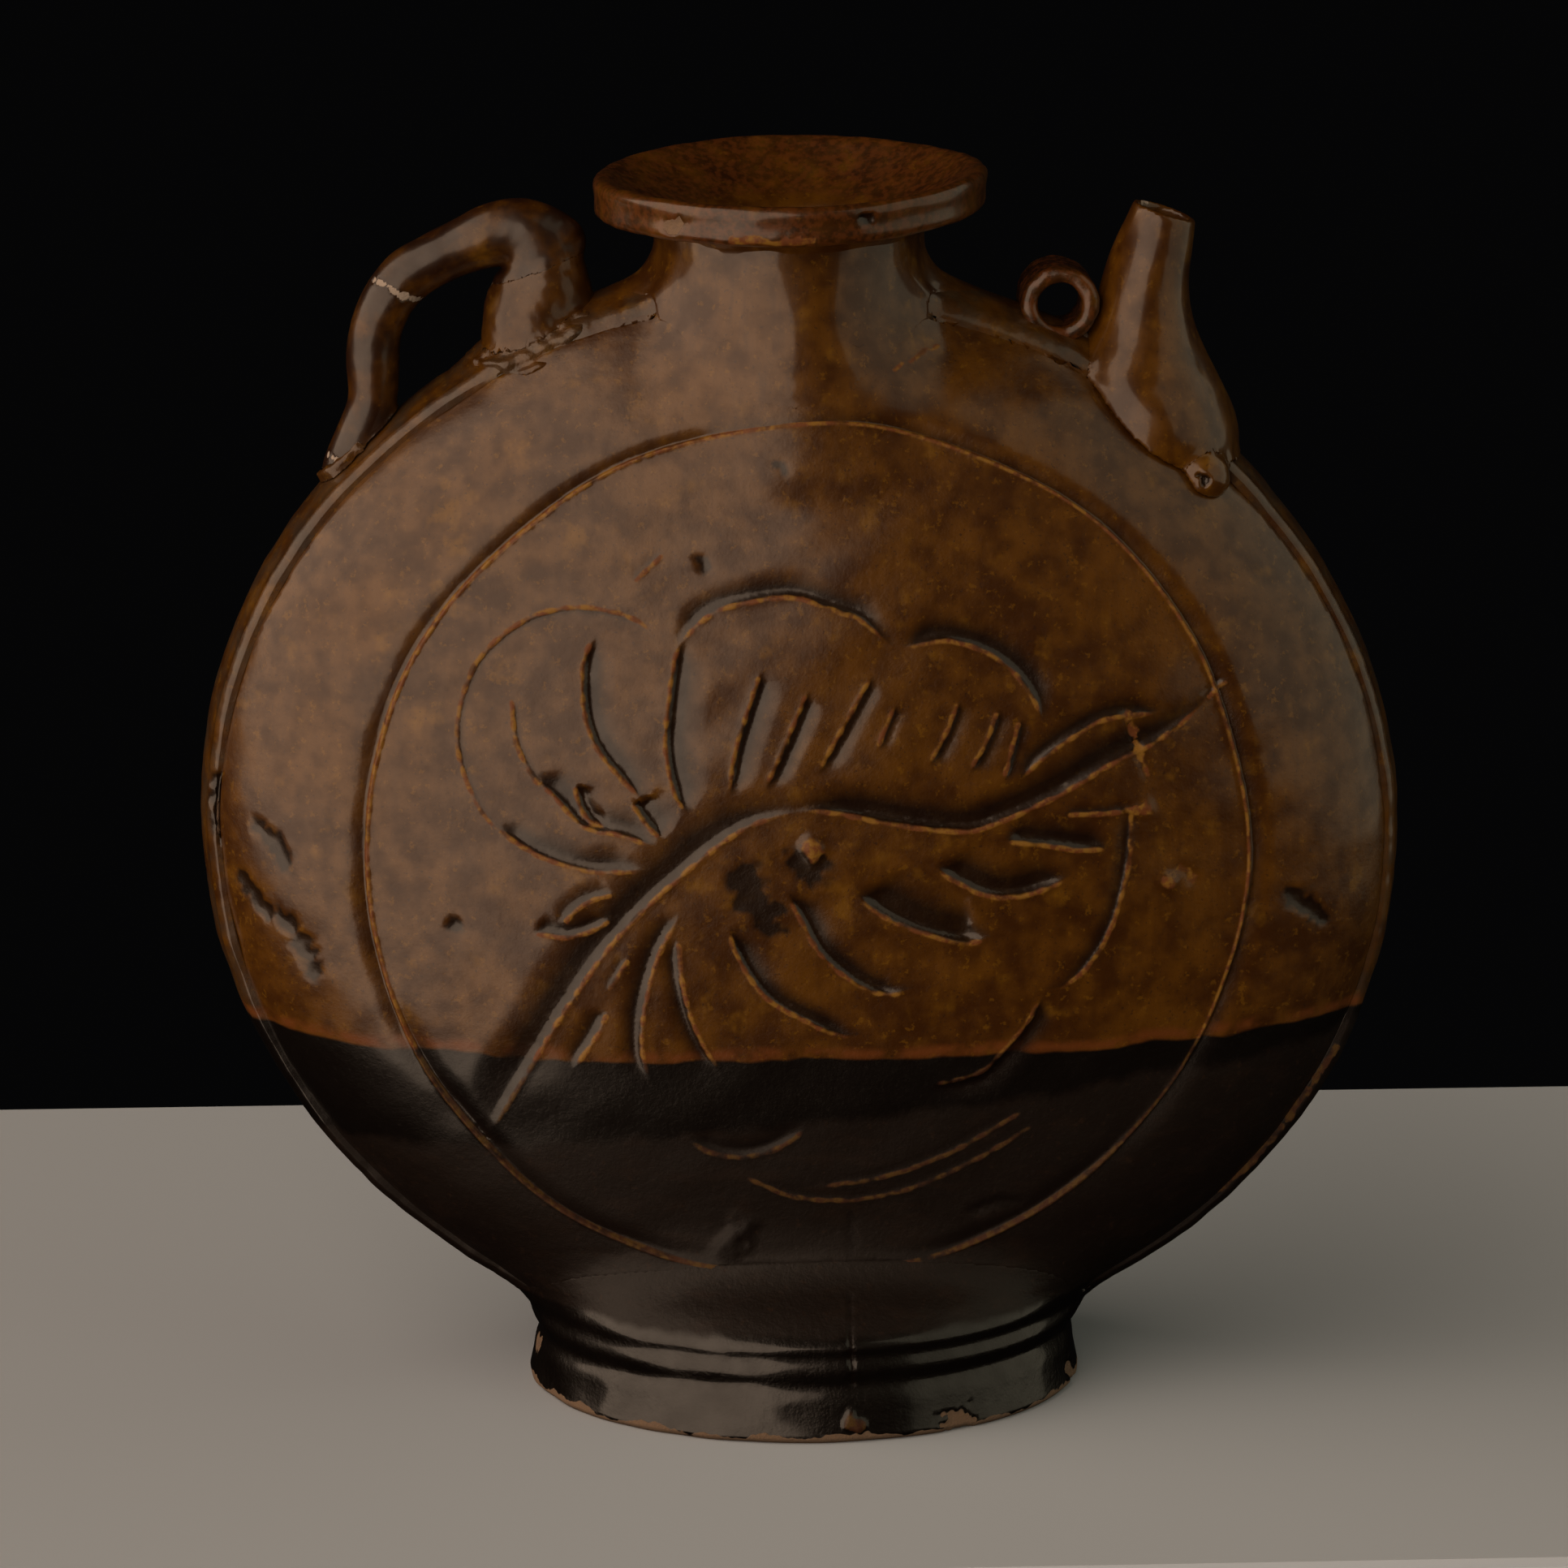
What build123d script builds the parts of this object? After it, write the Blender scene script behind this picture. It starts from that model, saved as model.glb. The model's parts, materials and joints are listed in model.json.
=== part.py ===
from build123d import *
import os
from math import cos, pi, radians, sin, sqrt

# A stoneware pilgrim flask. X runs to the right, Y to the back and Z up; it stands on Z = 0.
# All lengths are in millimetres, all turns in degrees.

# The squashed rim: two thrown bowls meet rim to rim at Y = 0, and a strap of clay covers the seam.
crown_half_long = 145.7
crown_half_short = 133.7
squash_turn = 9.9
body_clearance = 6.5
body_wall = 6.0
strap_half_width = 13.0
strap_crown = 3.4
strap_thickness = 4.8
strap_edge_round = 0.9

# The bowls: a shoulder runs from the rim to a round, domed medallion.
shoulder_width = 28.2
shoulder_depth = 21.5
medallion_dome = 15.0
ring_groove_radius = 1.3
shoulder_start_turn = 22.0
shoulder_end_turn = 70.0
shoulder_sections = 6

# The neck and the dished mouth stand a little to the left of the body's middle.
mouth_shift = -2.9
mouth_rise = 26.1
mouth_overhang = 15.3
mouth_wall_height = 8.7
mouth_lip_round = 1.8
dish_land = 3.2
dish_depth = 12.5
throat_radius = 21.0
throat_length = 5.5
neck_bore_radius = 24.0
neck_wall = 7.3
neck_spread = 1.2
neck_depth = 24.4
saddle_reach = 19.0
saddle_height = 18.0
saddle_lap = 0.5

# The foot is thrown as an open ring, deeper than the body, and coved up to meet it.
foot_shift = 0.8
foot_half_width = 67.8
foot_half_depth = 59.0
foot_wall = 8.5
foot_waist_in = 1.6
foot_waist_height = 12.0
foot_lap = 33.5
foot_cove_out = 18.0
foot_cove_in = 27.0
foot_rest_round = 1.0
foot_groove_depth = 0.7
foot_groove_half_height = 2.4
foot_groove_heights = (14.2, 20.6)

# The spout: a hand-built cone with a full belly, luted on the right shoulder.
spout_base_share = 0.5765
spout_base_sink = 7.3
spout_base_radius = 24.0
spout_length = 50.5
spout_tip_radius = 7.7
spout_bore_radius = 6.1
spout_bore_length = 32.0
spout_well_radius = 9.0
spout_well_depth = 28.0
spout_tip_lean = 11.5
spout_tip_cut = 18.4
spout_heel_radius = 6.4
spout_heel_share = 0.6905
spout_heel_depth = 17.0
spout_heel_drop = 8.2

# The tube lug: a short rolled tube lying front to back between neck and spout.
lug_share = 0.4214
lug_radius = 9.3
lug_bore_radius = 5.4
lug_length = 17.0
lug_edge_round = 1.5
lug_seat = 1.4
lug_wad_radius = 5.4

# The handle: a hand-rolled coil from the left shoulder to a root pressed out like a fan.
handle_heel_share = -0.7296
handle_heel_lift = 1.5
handle_overshoot = 1.7
handle_rise = 50.0
handle_coil_radius = 6.4
fan_share = -0.4393
fan_half_width = 14.2
fan_half_depth = 13.6
fan_height = 29.0
heel_pad_half_length = 9.0
heel_pad_half_width = 7.5
heel_pad_thickness = 2.2
luting_thickness = 1.6
luting_spread = 3.4

# One overrun serves every cut that has to break through, and one short step measures a slope.
overrun = 4.0
slope_step = 0.15

# Sizes and places worked out from the ones above. What stands on the shoulders keeps its share of the way
# out from the middle, and its height follows the strap's crown.
body_centre_height = body_clearance + crown_half_short
rim_long = crown_half_long - strap_thickness
rim_short = crown_half_short - strap_thickness
medallion_radius = crown_half_short - shoulder_width
medallion_depth = strap_half_width + shoulder_depth
neck_radius = neck_bore_radius + neck_wall
mouth_radius = neck_radius + mouth_overhang
mouth_top = body_centre_height + crown_half_short + mouth_rise
joint_height = mouth_top - dish_depth - throat_length
neck_height = mouth_rise - dish_depth - throat_length + neck_depth
saddle_half_width = strap_half_width + saddle_lap
foot_cove_height = body_clearance + foot_lap
spout_base_x = crown_half_long * spout_base_share
spout_heel_x = crown_half_long * spout_heel_share
lug_x = crown_half_long * lug_share
handle_heel_x = crown_half_long * handle_heel_share
fan_x = crown_half_long * fan_share
handle_span = fan_x - handle_heel_x + handle_overshoot

# Handle stations, as shares of the span, the rise, the coil's radius (across, then in depth), and the
# direction of travel in degrees above the X axis.
handle_station_shares = [
    (-0.04, -0.22, 0.90, 0.95, 70),
    (0.00, 0.00, 0.92, 0.95, 70),
    (0.085, 0.22, 0.92, 1.00, 82),
    (0.093, 0.42, 1.00, 1.00, 90),
    (0.140, 0.61, 1.00, 1.00, 65),
    (0.245, 0.75, 1.02, 1.00, 46),
    (0.425, 0.866, 1.02, 1.00, 29),
    (0.600, 0.935, 1.06, 1.00, 20),
    (0.780, 0.990, 1.24, 1.02, 4),
    (0.945, 0.955, 1.56, 1.10, -42),
    (0.998, 0.830, 1.74, 1.25, -68),
]

# The root's sections, as shares of its height, then of its half width and half depth.
fan_station_shares = [(0.62, 0.93, 0.81), (0.30, 0.96, 0.91), (0.00, 1.00, 1.00)]

# The funnel's middle lies at this share of the dish's depth.
funnel_share = 0.62

# The neck's saddles, as shares of their height down from the joint, of their reach out from the neck and
# of their half width.
saddle_shares = [
    (0.04, -0.06, 0.90),
    (0.26, 0.05, 0.95),
    (0.42, 0.15, 0.97),
    (0.62, 0.36, 1.00),
    (0.78, 0.62, 1.00),
    (0.90, 0.88, 0.97),
    (1.05, 1.25, 0.90),
]

# Spout stations, as shares of the base radius sideways, the length up, the base radius across and in
# depth, and the lean in degrees to the right of upright.
spout_station_shares = [
    (-0.20, -0.20, 0.94, 0.92, 30),
    (0.00, 0.00, 0.99, 0.97, 30),
    (0.005, 0.205, 0.81, 0.83, 17),
    (-0.075, 0.435, 0.53, 0.56, 7),
    (-0.034, 0.708, 0.417, 0.43, 5),
    (0.096, 0.945, 0.340, 0.345, 11),
    (0.184, 1.120, 0.321, 0.325, 13),
]


def facing(depth, turn=squash_turn):
    """A plane facing the viewer, this far in front of the seam, its X axis turned to dip to the right."""
    dip = radians(turn)
    return Plane(
        origin=(0, -depth, body_centre_height),
        x_dir=(cos(dip), 0, -sin(dip)),
        z_dir=(0, -1, 0),
    )


def shoulder_section(share, inset):
    """One section of a bowl's shoulder: 0 is at the rim, 1 at the medallion. It lies inset into the clay."""
    start, end = radians(shoulder_start_turn), radians(shoulder_end_turn)
    turn = start + (end - start) * share
    out = (cos(turn) - cos(end)) / (cos(start) - cos(end))
    forward = (sin(turn) - sin(start)) / (sin(end) - sin(start))
    half_long = medallion_radius + (rim_long - medallion_radius) * out - inset * cos(turn)
    half_short = medallion_radius + (rim_short - medallion_radius) * out - inset * cos(turn)
    depth = strap_half_width + (medallion_depth - strap_half_width) * forward
    return facing(depth - inset * sin(turn) * forward) * Ellipse(half_long, half_short)


def domed_middle(inset):
    """The medallion's dome, a shallow cap of a ball, standing on the end of the shoulder."""
    edge = medallion_radius - inset * cos(radians(shoulder_end_turn))
    base = medallion_depth - inset * sin(radians(shoulder_end_turn))
    ball_radius = (medallion_radius**2 + medallion_dome**2) / (2 * medallion_dome)
    rise = ball_radius - sqrt(ball_radius**2 - edge**2)
    ball = facing(base + rise - ball_radius) * Sphere(ball_radius)
    column = facing(base) * Cylinder(edge, rise + overrun, align=(Align.CENTER, Align.CENTER, Align.MIN))
    return ball & column


def half_body(inset=0):
    """The solid inside one bowl's surface, from the seam to the middle of the medallion."""
    shares = [step / (shoulder_sections - 1) for step in range(shoulder_sections)]
    sections = [shoulder_section(share, inset) for share in shares]
    start = radians(shoulder_start_turn)
    strip = facing(0) * Ellipse(rim_long - inset * cos(start), rim_short - inset * cos(start))
    return extrude(strip, strap_half_width) + loft(sections) + domed_middle(inset)


def bowl(passages):
    """A thrown bowl with its even wall, the ring cut round its medallion, and the holes through it."""
    shell = half_body() - half_body(body_wall)
    groove = facing(medallion_depth + ring_groove_radius / 3) * Torus(medallion_radius, ring_groove_radius)
    return shell - groove - passages


def strap_blank(extra=0):
    """The strap over the seam before it is fitted, crowned across its width, or a layer over the strap."""
    sections = []
    for step in (-1, -0.5, 0, 0.5, 1):
        lift = extra - strap_crown * step**2
        plane = facing(step * (strap_half_width + extra))
        sections.append(plane * Ellipse(crown_half_long + lift, crown_half_short + lift))
    barrel = loft(sections)
    return fillet(barrel.edges().filter_by(GeomType.PLANE, reverse=True), strap_edge_round)


def neck_collar(body):
    """The neck: a round collar, with clay drawn out along the strap to a saddle at each side."""
    foot = Plane(origin=(mouth_shift, 0, joint_height - neck_height))
    top = Plane(origin=(mouth_shift, 0, joint_height))
    collar = loft([foot * Circle(neck_radius + neck_spread), top * Circle(neck_radius)])
    saddle = []
    for drop, out, across in saddle_shares:
        plane = Plane(origin=(mouth_shift, 0, joint_height - drop * saddle_height))
        reach = neck_radius + out * saddle_reach
        saddle.append(plane * Ellipse(reach, across * saddle_half_width))
    return collar + loft(saddle) - body - neck_bore()


def neck_bore():
    """The round passage from the mouth down into the body."""
    length = neck_height + body_wall + strap_thickness
    return Pos(mouth_shift, 0, joint_height - length) * Cylinder(
        neck_bore_radius, length, align=(Align.CENTER, Align.CENTER, Align.MIN)
    )


def mouth_dish():
    """The wide dished mouth, turned as one ring: upright wall, rounded lip and a funnel to the throat."""
    wall_foot = mouth_top - mouth_wall_height
    throat_top = mouth_top - dish_depth
    land_in = mouth_radius - mouth_lip_round - dish_land
    under = (
        Line((throat_radius, joint_height), (neck_radius, joint_height))
        + Line((neck_radius, joint_height), (neck_radius, joint_height + throat_length / 2))
        + Line(
            (neck_radius, joint_height + throat_length / 2),
            (mouth_radius - mouth_lip_round / 2, wall_foot),
        )
        + Line((mouth_radius - mouth_lip_round / 2, wall_foot), (mouth_radius, wall_foot + mouth_lip_round))
        + Line((mouth_radius, wall_foot + mouth_lip_round), (mouth_radius, mouth_top - mouth_lip_round))
    )
    lip = CenterArc((mouth_radius - mouth_lip_round, mouth_top - mouth_lip_round), mouth_lip_round, 0, 90)
    middle = (throat_radius + land_in) / 2
    funnel = ThreePointArc(
        (land_in, mouth_top - mouth_lip_round / 4),
        (middle, mouth_top - dish_depth * funnel_share),
        (throat_radius, throat_top),
    )
    land = Line((mouth_radius - mouth_lip_round, mouth_top), (land_in, mouth_top - mouth_lip_round / 4))
    throat = Line((throat_radius, throat_top), (throat_radius, joint_height))
    profile = Plane.XZ * make_face(under + lip + land + funnel + throat)
    return Pos(mouth_shift, 0, 0) * revolve(profile, Axis.Z)


def foot_oval(height, inset=0):
    """The foot's outline at a height: upright below, above it wider at the sides and narrower in front."""
    waist = foot_waist_in * sin(pi / 2 * min(1, height / foot_waist_height))
    climb = max(0, (height - foot_waist_height) / (foot_cove_height - foot_waist_height))
    side = foot_half_width - waist + foot_cove_out * climb**2
    front = foot_half_depth - waist - foot_cove_in * climb**2 * (3 - 2 * climb)
    return Plane(origin=(foot_shift, 0, height)) * Ellipse(side - inset, front - inset)


def foot_block(inset):
    """The foot's outer form, or with an inset its inside."""
    below = [foot_waist_height * share for share in (0, 0.5, 1)]
    rise = foot_cove_height - foot_waist_height
    above = [foot_waist_height + rise * share for share in (0.2, 0.4, 0.6, 0.8, 1)]
    return loft([foot_oval(height, inset) for height in below + above])


def foot_ring(body):
    """The open foot ring, fitted under the body, with the throwing grooves round it."""
    ring = foot_block(0) - foot_block(foot_wall)
    rest = [edge for edge in ring.edges() if abs(edge.center().Z) < foot_rest_round / 10]
    ring = fillet(rest, foot_rest_round)
    for height in foot_groove_heights:
        low, high = height - foot_groove_half_height, height + foot_groove_half_height
        waisted = [
            foot_oval(low, -foot_groove_depth),
            foot_oval(height, foot_groove_depth),
            foot_oval(high, -foot_groove_depth),
        ]
        slab = extrude(foot_oval(low, -overrun), high - low)
        ring -= slab - loft(waisted, ruled=True)
    return ring - body


def spout_point(along, up):
    """A point in the spout's middle plane, from its base: shares of the base radius and of the length."""
    base_height = crown_height(spout_base_x) - spout_base_sink
    return Vector(spout_base_x + along * spout_base_radius, 0, base_height + up * spout_length)


def spout_block():
    """The spout's outer form: sections that swell into the belly and lean out towards the tip."""
    sections = []
    for along, up, across, deep, lean in spout_station_shares:
        turn = radians(lean)
        plane = Plane(
            origin=spout_point(along, up),
            x_dir=(cos(turn), 0, -sin(turn)),
            z_dir=(sin(turn), 0, cos(turn)),
        )
        sections.append(plane * Ellipse(across * spout_base_radius, deep * spout_base_radius))
    return loft(sections)


def spout_tip_point():
    """The middle of the spout's mouth."""
    along, up = spout_station_shares[-2][:2]
    lean = radians(spout_tip_lean)
    return spout_point(along, up) + Vector(sin(lean), 0, cos(lean)) * (spout_tip_radius / 4)


def spout_bore():
    """The passage: a bore from the tip, and below it a wider well through the shoulder into the body."""
    lean = radians(spout_tip_lean)
    up = Vector(sin(lean), 0, cos(lean))
    step = Plane(origin=spout_tip_point() - up * spout_bore_length, z_dir=up)
    bore = Cylinder(
        spout_bore_radius,
        spout_bore_length + spout_tip_radius,
        align=(Align.CENTER, Align.CENTER, Align.MIN),
    )
    well = Cylinder(spout_well_radius, spout_well_depth, align=(Align.CENTER, Align.CENTER, Align.MAX))
    return step * (bore + well)


def spout(body, lug):
    """The spout, fitted to the shoulder and the lug, bored through and cut off slanting at the tip."""
    cut = radians(spout_tip_cut)
    above = Plane(origin=spout_tip_point(), x_dir=(cos(cut), 0, -sin(cut)), z_dir=(sin(cut), 0, cos(cut)))
    waste = above * Cylinder(
        spout_base_radius, spout_length, align=(Align.CENTER, Align.CENTER, Align.MIN)
    )
    return spout_block() - waste - body - lug - spout_bore()


def crown_height(x):
    """The height of the strap's crown on the upper side of the body at this X."""
    turn = radians(squash_turn)
    a = (sin(turn) / crown_half_long) ** 2 + (cos(turn) / crown_half_short) ** 2
    b = 2 * x * sin(turn) * cos(turn) * (1 / crown_half_short**2 - 1 / crown_half_long**2)
    c = (x * cos(turn) / crown_half_long) ** 2 + (x * sin(turn) / crown_half_short) ** 2 - 1
    return body_centre_height + (-b + sqrt(b**2 - 4 * a * c)) / (2 * a)


def shoulder_frame(x, depth=0, sink=0):
    """A plane on the shoulder at this X and depth, its Z axis square to the strap's crown line."""
    slope = crown_height(x + slope_step) - crown_height(x - slope_step)
    along = Vector(2 * slope_step, 0, slope).normalized()
    out = Vector(-along.Z, 0, along.X)
    origin = Vector(x, -depth, crown_height(x)) - out * sink
    return Plane(origin=origin, x_dir=along, z_dir=out)


def lug_axis():
    """The plane across the lug at its middle, seated a little into the strap's crown."""
    height = crown_height(lug_x) + lug_radius - lug_seat
    return Plane(origin=(lug_x, 0, height), z_dir=(0, -1, 0))


def tube_lug(body, neck):
    """The lug: a rolled tube with softened ends, seated a little into the strap."""
    across = lug_axis()
    tube = across * (Cylinder(lug_radius, lug_length) - Cylinder(lug_bore_radius, lug_length))
    rims = [edge for edge in tube.edges() if edge.geom_type == GeomType.CIRCLE]
    return fillet(rims, lug_edge_round) - body - neck


def lug_wad(body, lug, neighbour):
    """The pinch of clay that fills the corner between lug, spout and shoulder."""
    side = shoulder_frame(lug_x + lug_wad_radius)
    return side * Sphere(lug_wad_radius) - body - lug - neighbour


def spout_heel(body, neighbour):
    """The thumbed lump of clay at the low end of the spout's belly."""
    seat = shoulder_frame(spout_heel_x, spout_heel_depth, spout_heel_drop)
    return seat * Sphere(spout_heel_radius) - body - neighbour


def handle_point(along, up):
    """A point in the handle's middle plane, by its shares of the span and the rise from the heel."""
    heel_height = crown_height(handle_heel_x) + handle_heel_lift
    return Vector(handle_heel_x + along * handle_span, 0, heel_height + up * handle_rise)


def handle_coil(body):
    """The handle: one hand-rolled coil, thinner at the heel, that thickens as it turns down at the root."""
    sections = []
    for along, up, across, deep, travel in handle_station_shares:
        turn = radians(travel)
        plane = Plane(
            origin=handle_point(along, up),
            x_dir=(sin(turn), 0, -cos(turn)),
            z_dir=(cos(turn), 0, sin(turn)),
        )
        sections.append(plane * Ellipse(across * handle_coil_radius, deep * handle_coil_radius))
    return loft(sections) - body


def fan_root(body, neck):
    """The root of the handle, pressed out like a fan on the strap, under the end of the coil."""
    along, up, across, deep, travel = handle_station_shares[-1]
    turn = radians(travel)
    top = Plane(
        origin=handle_point(along, up),
        x_dir=(-sin(turn), 0, cos(turn)),
        z_dir=(-cos(turn), 0, -sin(turn)),
    )
    sections = [top * Ellipse(across * handle_coil_radius, deep * handle_coil_radius)]
    for share, width, depth in fan_station_shares:
        centre = fan_x + (top.origin.X - fan_x) * share
        plane = Plane(origin=(centre, 0, top.origin.Z - fan_height * (1 - share)))
        sections.append(plane * Ellipse(width * fan_half_width, depth * fan_half_depth))
    return loft(sections) - body - neck


def luting_skirt(x, half_length, half_width, thickness, body, root):
    """Clay smeared in an even layer over the shoulder round a root: an oval patch of a thicker body."""
    reach = strap_crown + strap_thickness + thickness + overrun
    patch = shoulder_frame(x) * extrude(Ellipse(half_length, half_width), reach, both=True)
    bowls = half_body(-thickness) + mirror(half_body(-thickness), Plane.XZ)
    return (patch & (bowls + strap_blank(thickness))) - body - root


def build_parts():
    """Every piece by its node name."""
    bowls = half_body() + mirror(half_body(), Plane.XZ)
    strap = strap_blank()
    body = bowls + strap
    passages = neck_bore() + spout_bore()
    neck = neck_collar(body)
    lug = tube_lug(body, neck)
    parts = {
        "front_bowl": bowl(passages),
        "back_bowl": mirror(bowl(mirror(passages, Plane.XZ)), Plane.XZ),
        "edge_strap": strap - bowls - passages,
        "neck_collar": neck,
        "mouth_dish": mouth_dish(),
        "foot_ring": foot_ring(body),
        "spout": spout(body, lug_axis() * Cylinder(lug_radius, lug_length)),
        "tube_lug": lug,
        "handle_coil": handle_coil(body),
        "fan_root": fan_root(body, neck),
    }
    parts["lug_wad"] = lug_wad(body, lug, parts["spout"] + passages)
    parts["spout_heel"] = spout_heel(body, parts["spout"])
    parts["fan_luting"] = luting_skirt(
        fan_x,
        fan_half_width + luting_spread,
        fan_half_depth + luting_spread,
        luting_thickness,
        body + neck,
        parts["fan_root"],
    )
    parts["heel_pad"] = luting_skirt(
        handle_heel_x - heel_pad_half_length / 4,
        heel_pad_half_length,
        heel_pad_half_width,
        heel_pad_thickness,
        body,
        parts["handle_coil"],
    )
    return parts


if __name__ == "__main__":
    os.makedirs("parts", exist_ok=True)
    for node, shape in build_parts().items():
        export_step(shape, f"parts/{node}.step")
        print(node, round(shape.volume), "cubic millimetres")
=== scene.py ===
# %% [markdown]
# # A glazed pilgrim flask
#
# The real object is fired stoneware: two thrown bowls luted rim to rim, a strap of clay over the seam, a
# neck with a dished mouth, an open foot, and a handle, a lug and a spout on the shoulders. Somebody cut a
# leaf and a flower into the front while the clay was leather hard, dipped the flask in amber glaze and then
# stood it in a darker one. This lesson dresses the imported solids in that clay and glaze. It starts with the
# solids themselves, because every piece below takes its place from them.

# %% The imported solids
import json
from math import cos, pi, radians, sin, sqrt

import bmesh
import bpy
import numpy as np
from mathutils import Euler, Matrix, Vector
from mathutils.bvhtree import BVHTree
from mathutils.geometry import delaunay_2d_cdt

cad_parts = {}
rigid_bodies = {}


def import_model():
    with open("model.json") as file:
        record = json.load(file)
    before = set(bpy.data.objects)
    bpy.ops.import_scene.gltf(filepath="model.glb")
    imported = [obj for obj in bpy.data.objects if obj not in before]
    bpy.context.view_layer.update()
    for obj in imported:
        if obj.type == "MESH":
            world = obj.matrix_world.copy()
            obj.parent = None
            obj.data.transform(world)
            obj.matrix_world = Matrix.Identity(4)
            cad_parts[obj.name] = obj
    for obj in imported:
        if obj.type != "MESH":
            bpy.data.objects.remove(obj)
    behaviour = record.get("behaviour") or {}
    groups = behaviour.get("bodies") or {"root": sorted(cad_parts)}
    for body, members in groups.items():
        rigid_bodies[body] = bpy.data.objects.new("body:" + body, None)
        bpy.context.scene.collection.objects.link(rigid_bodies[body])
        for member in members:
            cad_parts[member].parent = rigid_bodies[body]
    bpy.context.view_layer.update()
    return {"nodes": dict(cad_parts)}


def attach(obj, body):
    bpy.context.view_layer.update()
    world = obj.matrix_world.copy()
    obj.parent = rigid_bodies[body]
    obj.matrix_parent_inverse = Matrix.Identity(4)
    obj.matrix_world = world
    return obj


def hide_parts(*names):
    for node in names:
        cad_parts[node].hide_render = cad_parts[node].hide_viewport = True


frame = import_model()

MM = 0.001
nodes = frame["nodes"]

# %% [markdown]
# ## The camera
#
# The photograph was taken from about two metres away with a long lens, a little above the mouth and a
# little to the left. A pinhole camera was fitted to three ellipses in it: the mouth, the foot and the
# body's outline. The same numbers turn a place in the photograph back into a line in space, which is how
# the marks on the front find their place on the clay.

# %% The camera and its lines of sight
PHOTO = 1932
CAMERA_PLACE = Vector((-114.05, -2097.1, 696.9)) * MM
CAMERA_TURN = Euler((radians(75.373), 0, radians(-3.0)))
LENS, SENSOR = 205.54, 36.0
BODY_CENTRE = Vector((0, 0, 0.14))

camera = bpy.data.objects.new("camera", bpy.data.cameras.new("camera"))
camera.data.lens, camera.data.sensor_width = LENS, SENSOR
camera.data.clip_end = 20
camera.location, camera.rotation_euler = CAMERA_PLACE, CAMERA_TURN
bpy.context.scene.collection.objects.link(camera)
bpy.context.scene.camera = camera


def sight(pixels):
    """Directions from the camera through these places of the photograph."""
    across = (np.asarray(pixels, float) - PHOTO / 2) * [1, -1] * SENSOR / PHOTO / LENS
    local = np.column_stack([across, -np.ones(len(across))])
    return local @ np.array(CAMERA_TURN.to_matrix()).T


print("camera", round((CAMERA_PLACE - BODY_CENTRE).length, 2), "m from the body's middle")

# %% [markdown]
# ## The studio
#
# Glaze is mostly what it reflects. The photograph shows a strong soft light on the left, a weak one on the
# right, and between them a gap in which the bare amber shows. So the lamps here are two wide rectangles,
# the left one turned in its own plane, so that their edges fall where the edges of those reflections are.
# The table is a plain pale one that ends a short way behind the flask, and the room round it stays dim. The
# glaze doesn't mirror the table, which keeps the lower half of the flask as dark as in the photograph.

# %% Table, room and lamps
TABLE_LOW, TABLE_HIGH = Vector((-0.62, -0.152, -0.02)), Vector((0.62, 0.236, 0.0))
TABLE_COLOUR, TABLE_EDGE = (0.46, 0.53, 0.62), 0.004
ROOM_COLOUR = (0.0016, 0.0016, 0.0017)

scene = bpy.context.scene
scene.view_settings.view_transform = "Standard"
scene.world = scene.world or bpy.data.worlds.new("room")
scene.world.use_nodes = True
scene.world.node_tree.nodes["Background"].inputs["Color"].default_value = (*ROOM_COLOUR, 1)
scene.world.node_tree.nodes["Background"].inputs["Strength"].default_value = 1.0


def placed(name, mesh):
    """A new object in the scene with this mesh."""
    made = bpy.data.objects.new(name, mesh)
    scene.collection.objects.link(made)
    return made


def pale_table():
    mesh = bpy.data.meshes.new("table")
    shape = bmesh.new()
    bmesh.ops.create_cube(shape, size=1)
    size, middle = TABLE_HIGH - TABLE_LOW, (TABLE_HIGH + TABLE_LOW) / 2
    bmesh.ops.transform(shape, matrix=Matrix.LocRotScale(middle, None, size), verts=shape.verts)
    bmesh.ops.bevel(shape, geom=shape.edges, offset=TABLE_EDGE, segments=3, affect="EDGES")
    shape.to_mesh(mesh)
    table = placed("table", mesh)
    paint = bpy.data.materials.new("table_paint")
    paint.use_nodes = True
    base = paint.node_tree.nodes["Principled BSDF"]
    base.inputs["Base Color"].default_value = (*TABLE_COLOUR, 1)
    base.inputs["Roughness"].default_value = 0.8
    base.inputs["Specular IOR Level"].default_value = 0.2
    mesh.materials.append(paint)
    table.visible_glossy = False


def soft_lamp(name, azimuth, elevation, distance, width, height, roll, shift, radiance, tint):
    """A wide lamp square to this direction (azimuth to the right of the front), shifted in its own plane."""
    lamp = bpy.data.lights.new(name, "AREA")
    lamp.shape = "RECTANGLE"
    lamp.size, lamp.size_y = width, height
    lamp.energy = radiance * pi * width * height
    lamp.color = tint
    made = bpy.data.objects.new(name, lamp)
    turn, rise = radians(azimuth), radians(elevation)
    out = Vector((sin(turn) * cos(rise), -cos(turn) * cos(rise), sin(rise)))
    made.location = BODY_CENTRE + out * distance
    made.rotation_euler = out.to_track_quat("Z", "Y").to_euler()
    made.rotation_euler.rotate_axis("Z", radians(roll))
    made.location += made.rotation_euler.to_matrix() @ Vector((*shift, 0))
    made.visible_camera = False
    scene.collection.objects.link(made)
    print(name, "gives", round(lamp.energy), "W over", round(width * height, 2), "square metres")


pale_table()
soft_lamp("left_lamp", -60, 10, 2.4, 6.2, 4.6, -36, (0.1, 0.9), 2.0, (1.0, 0.74, 0.54))
soft_lamp("right_lamp", 76, 20, 2.2, 3.6, 3.0, -6, (0, 0), 0.55, (1.0, 0.88, 0.62))

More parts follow.
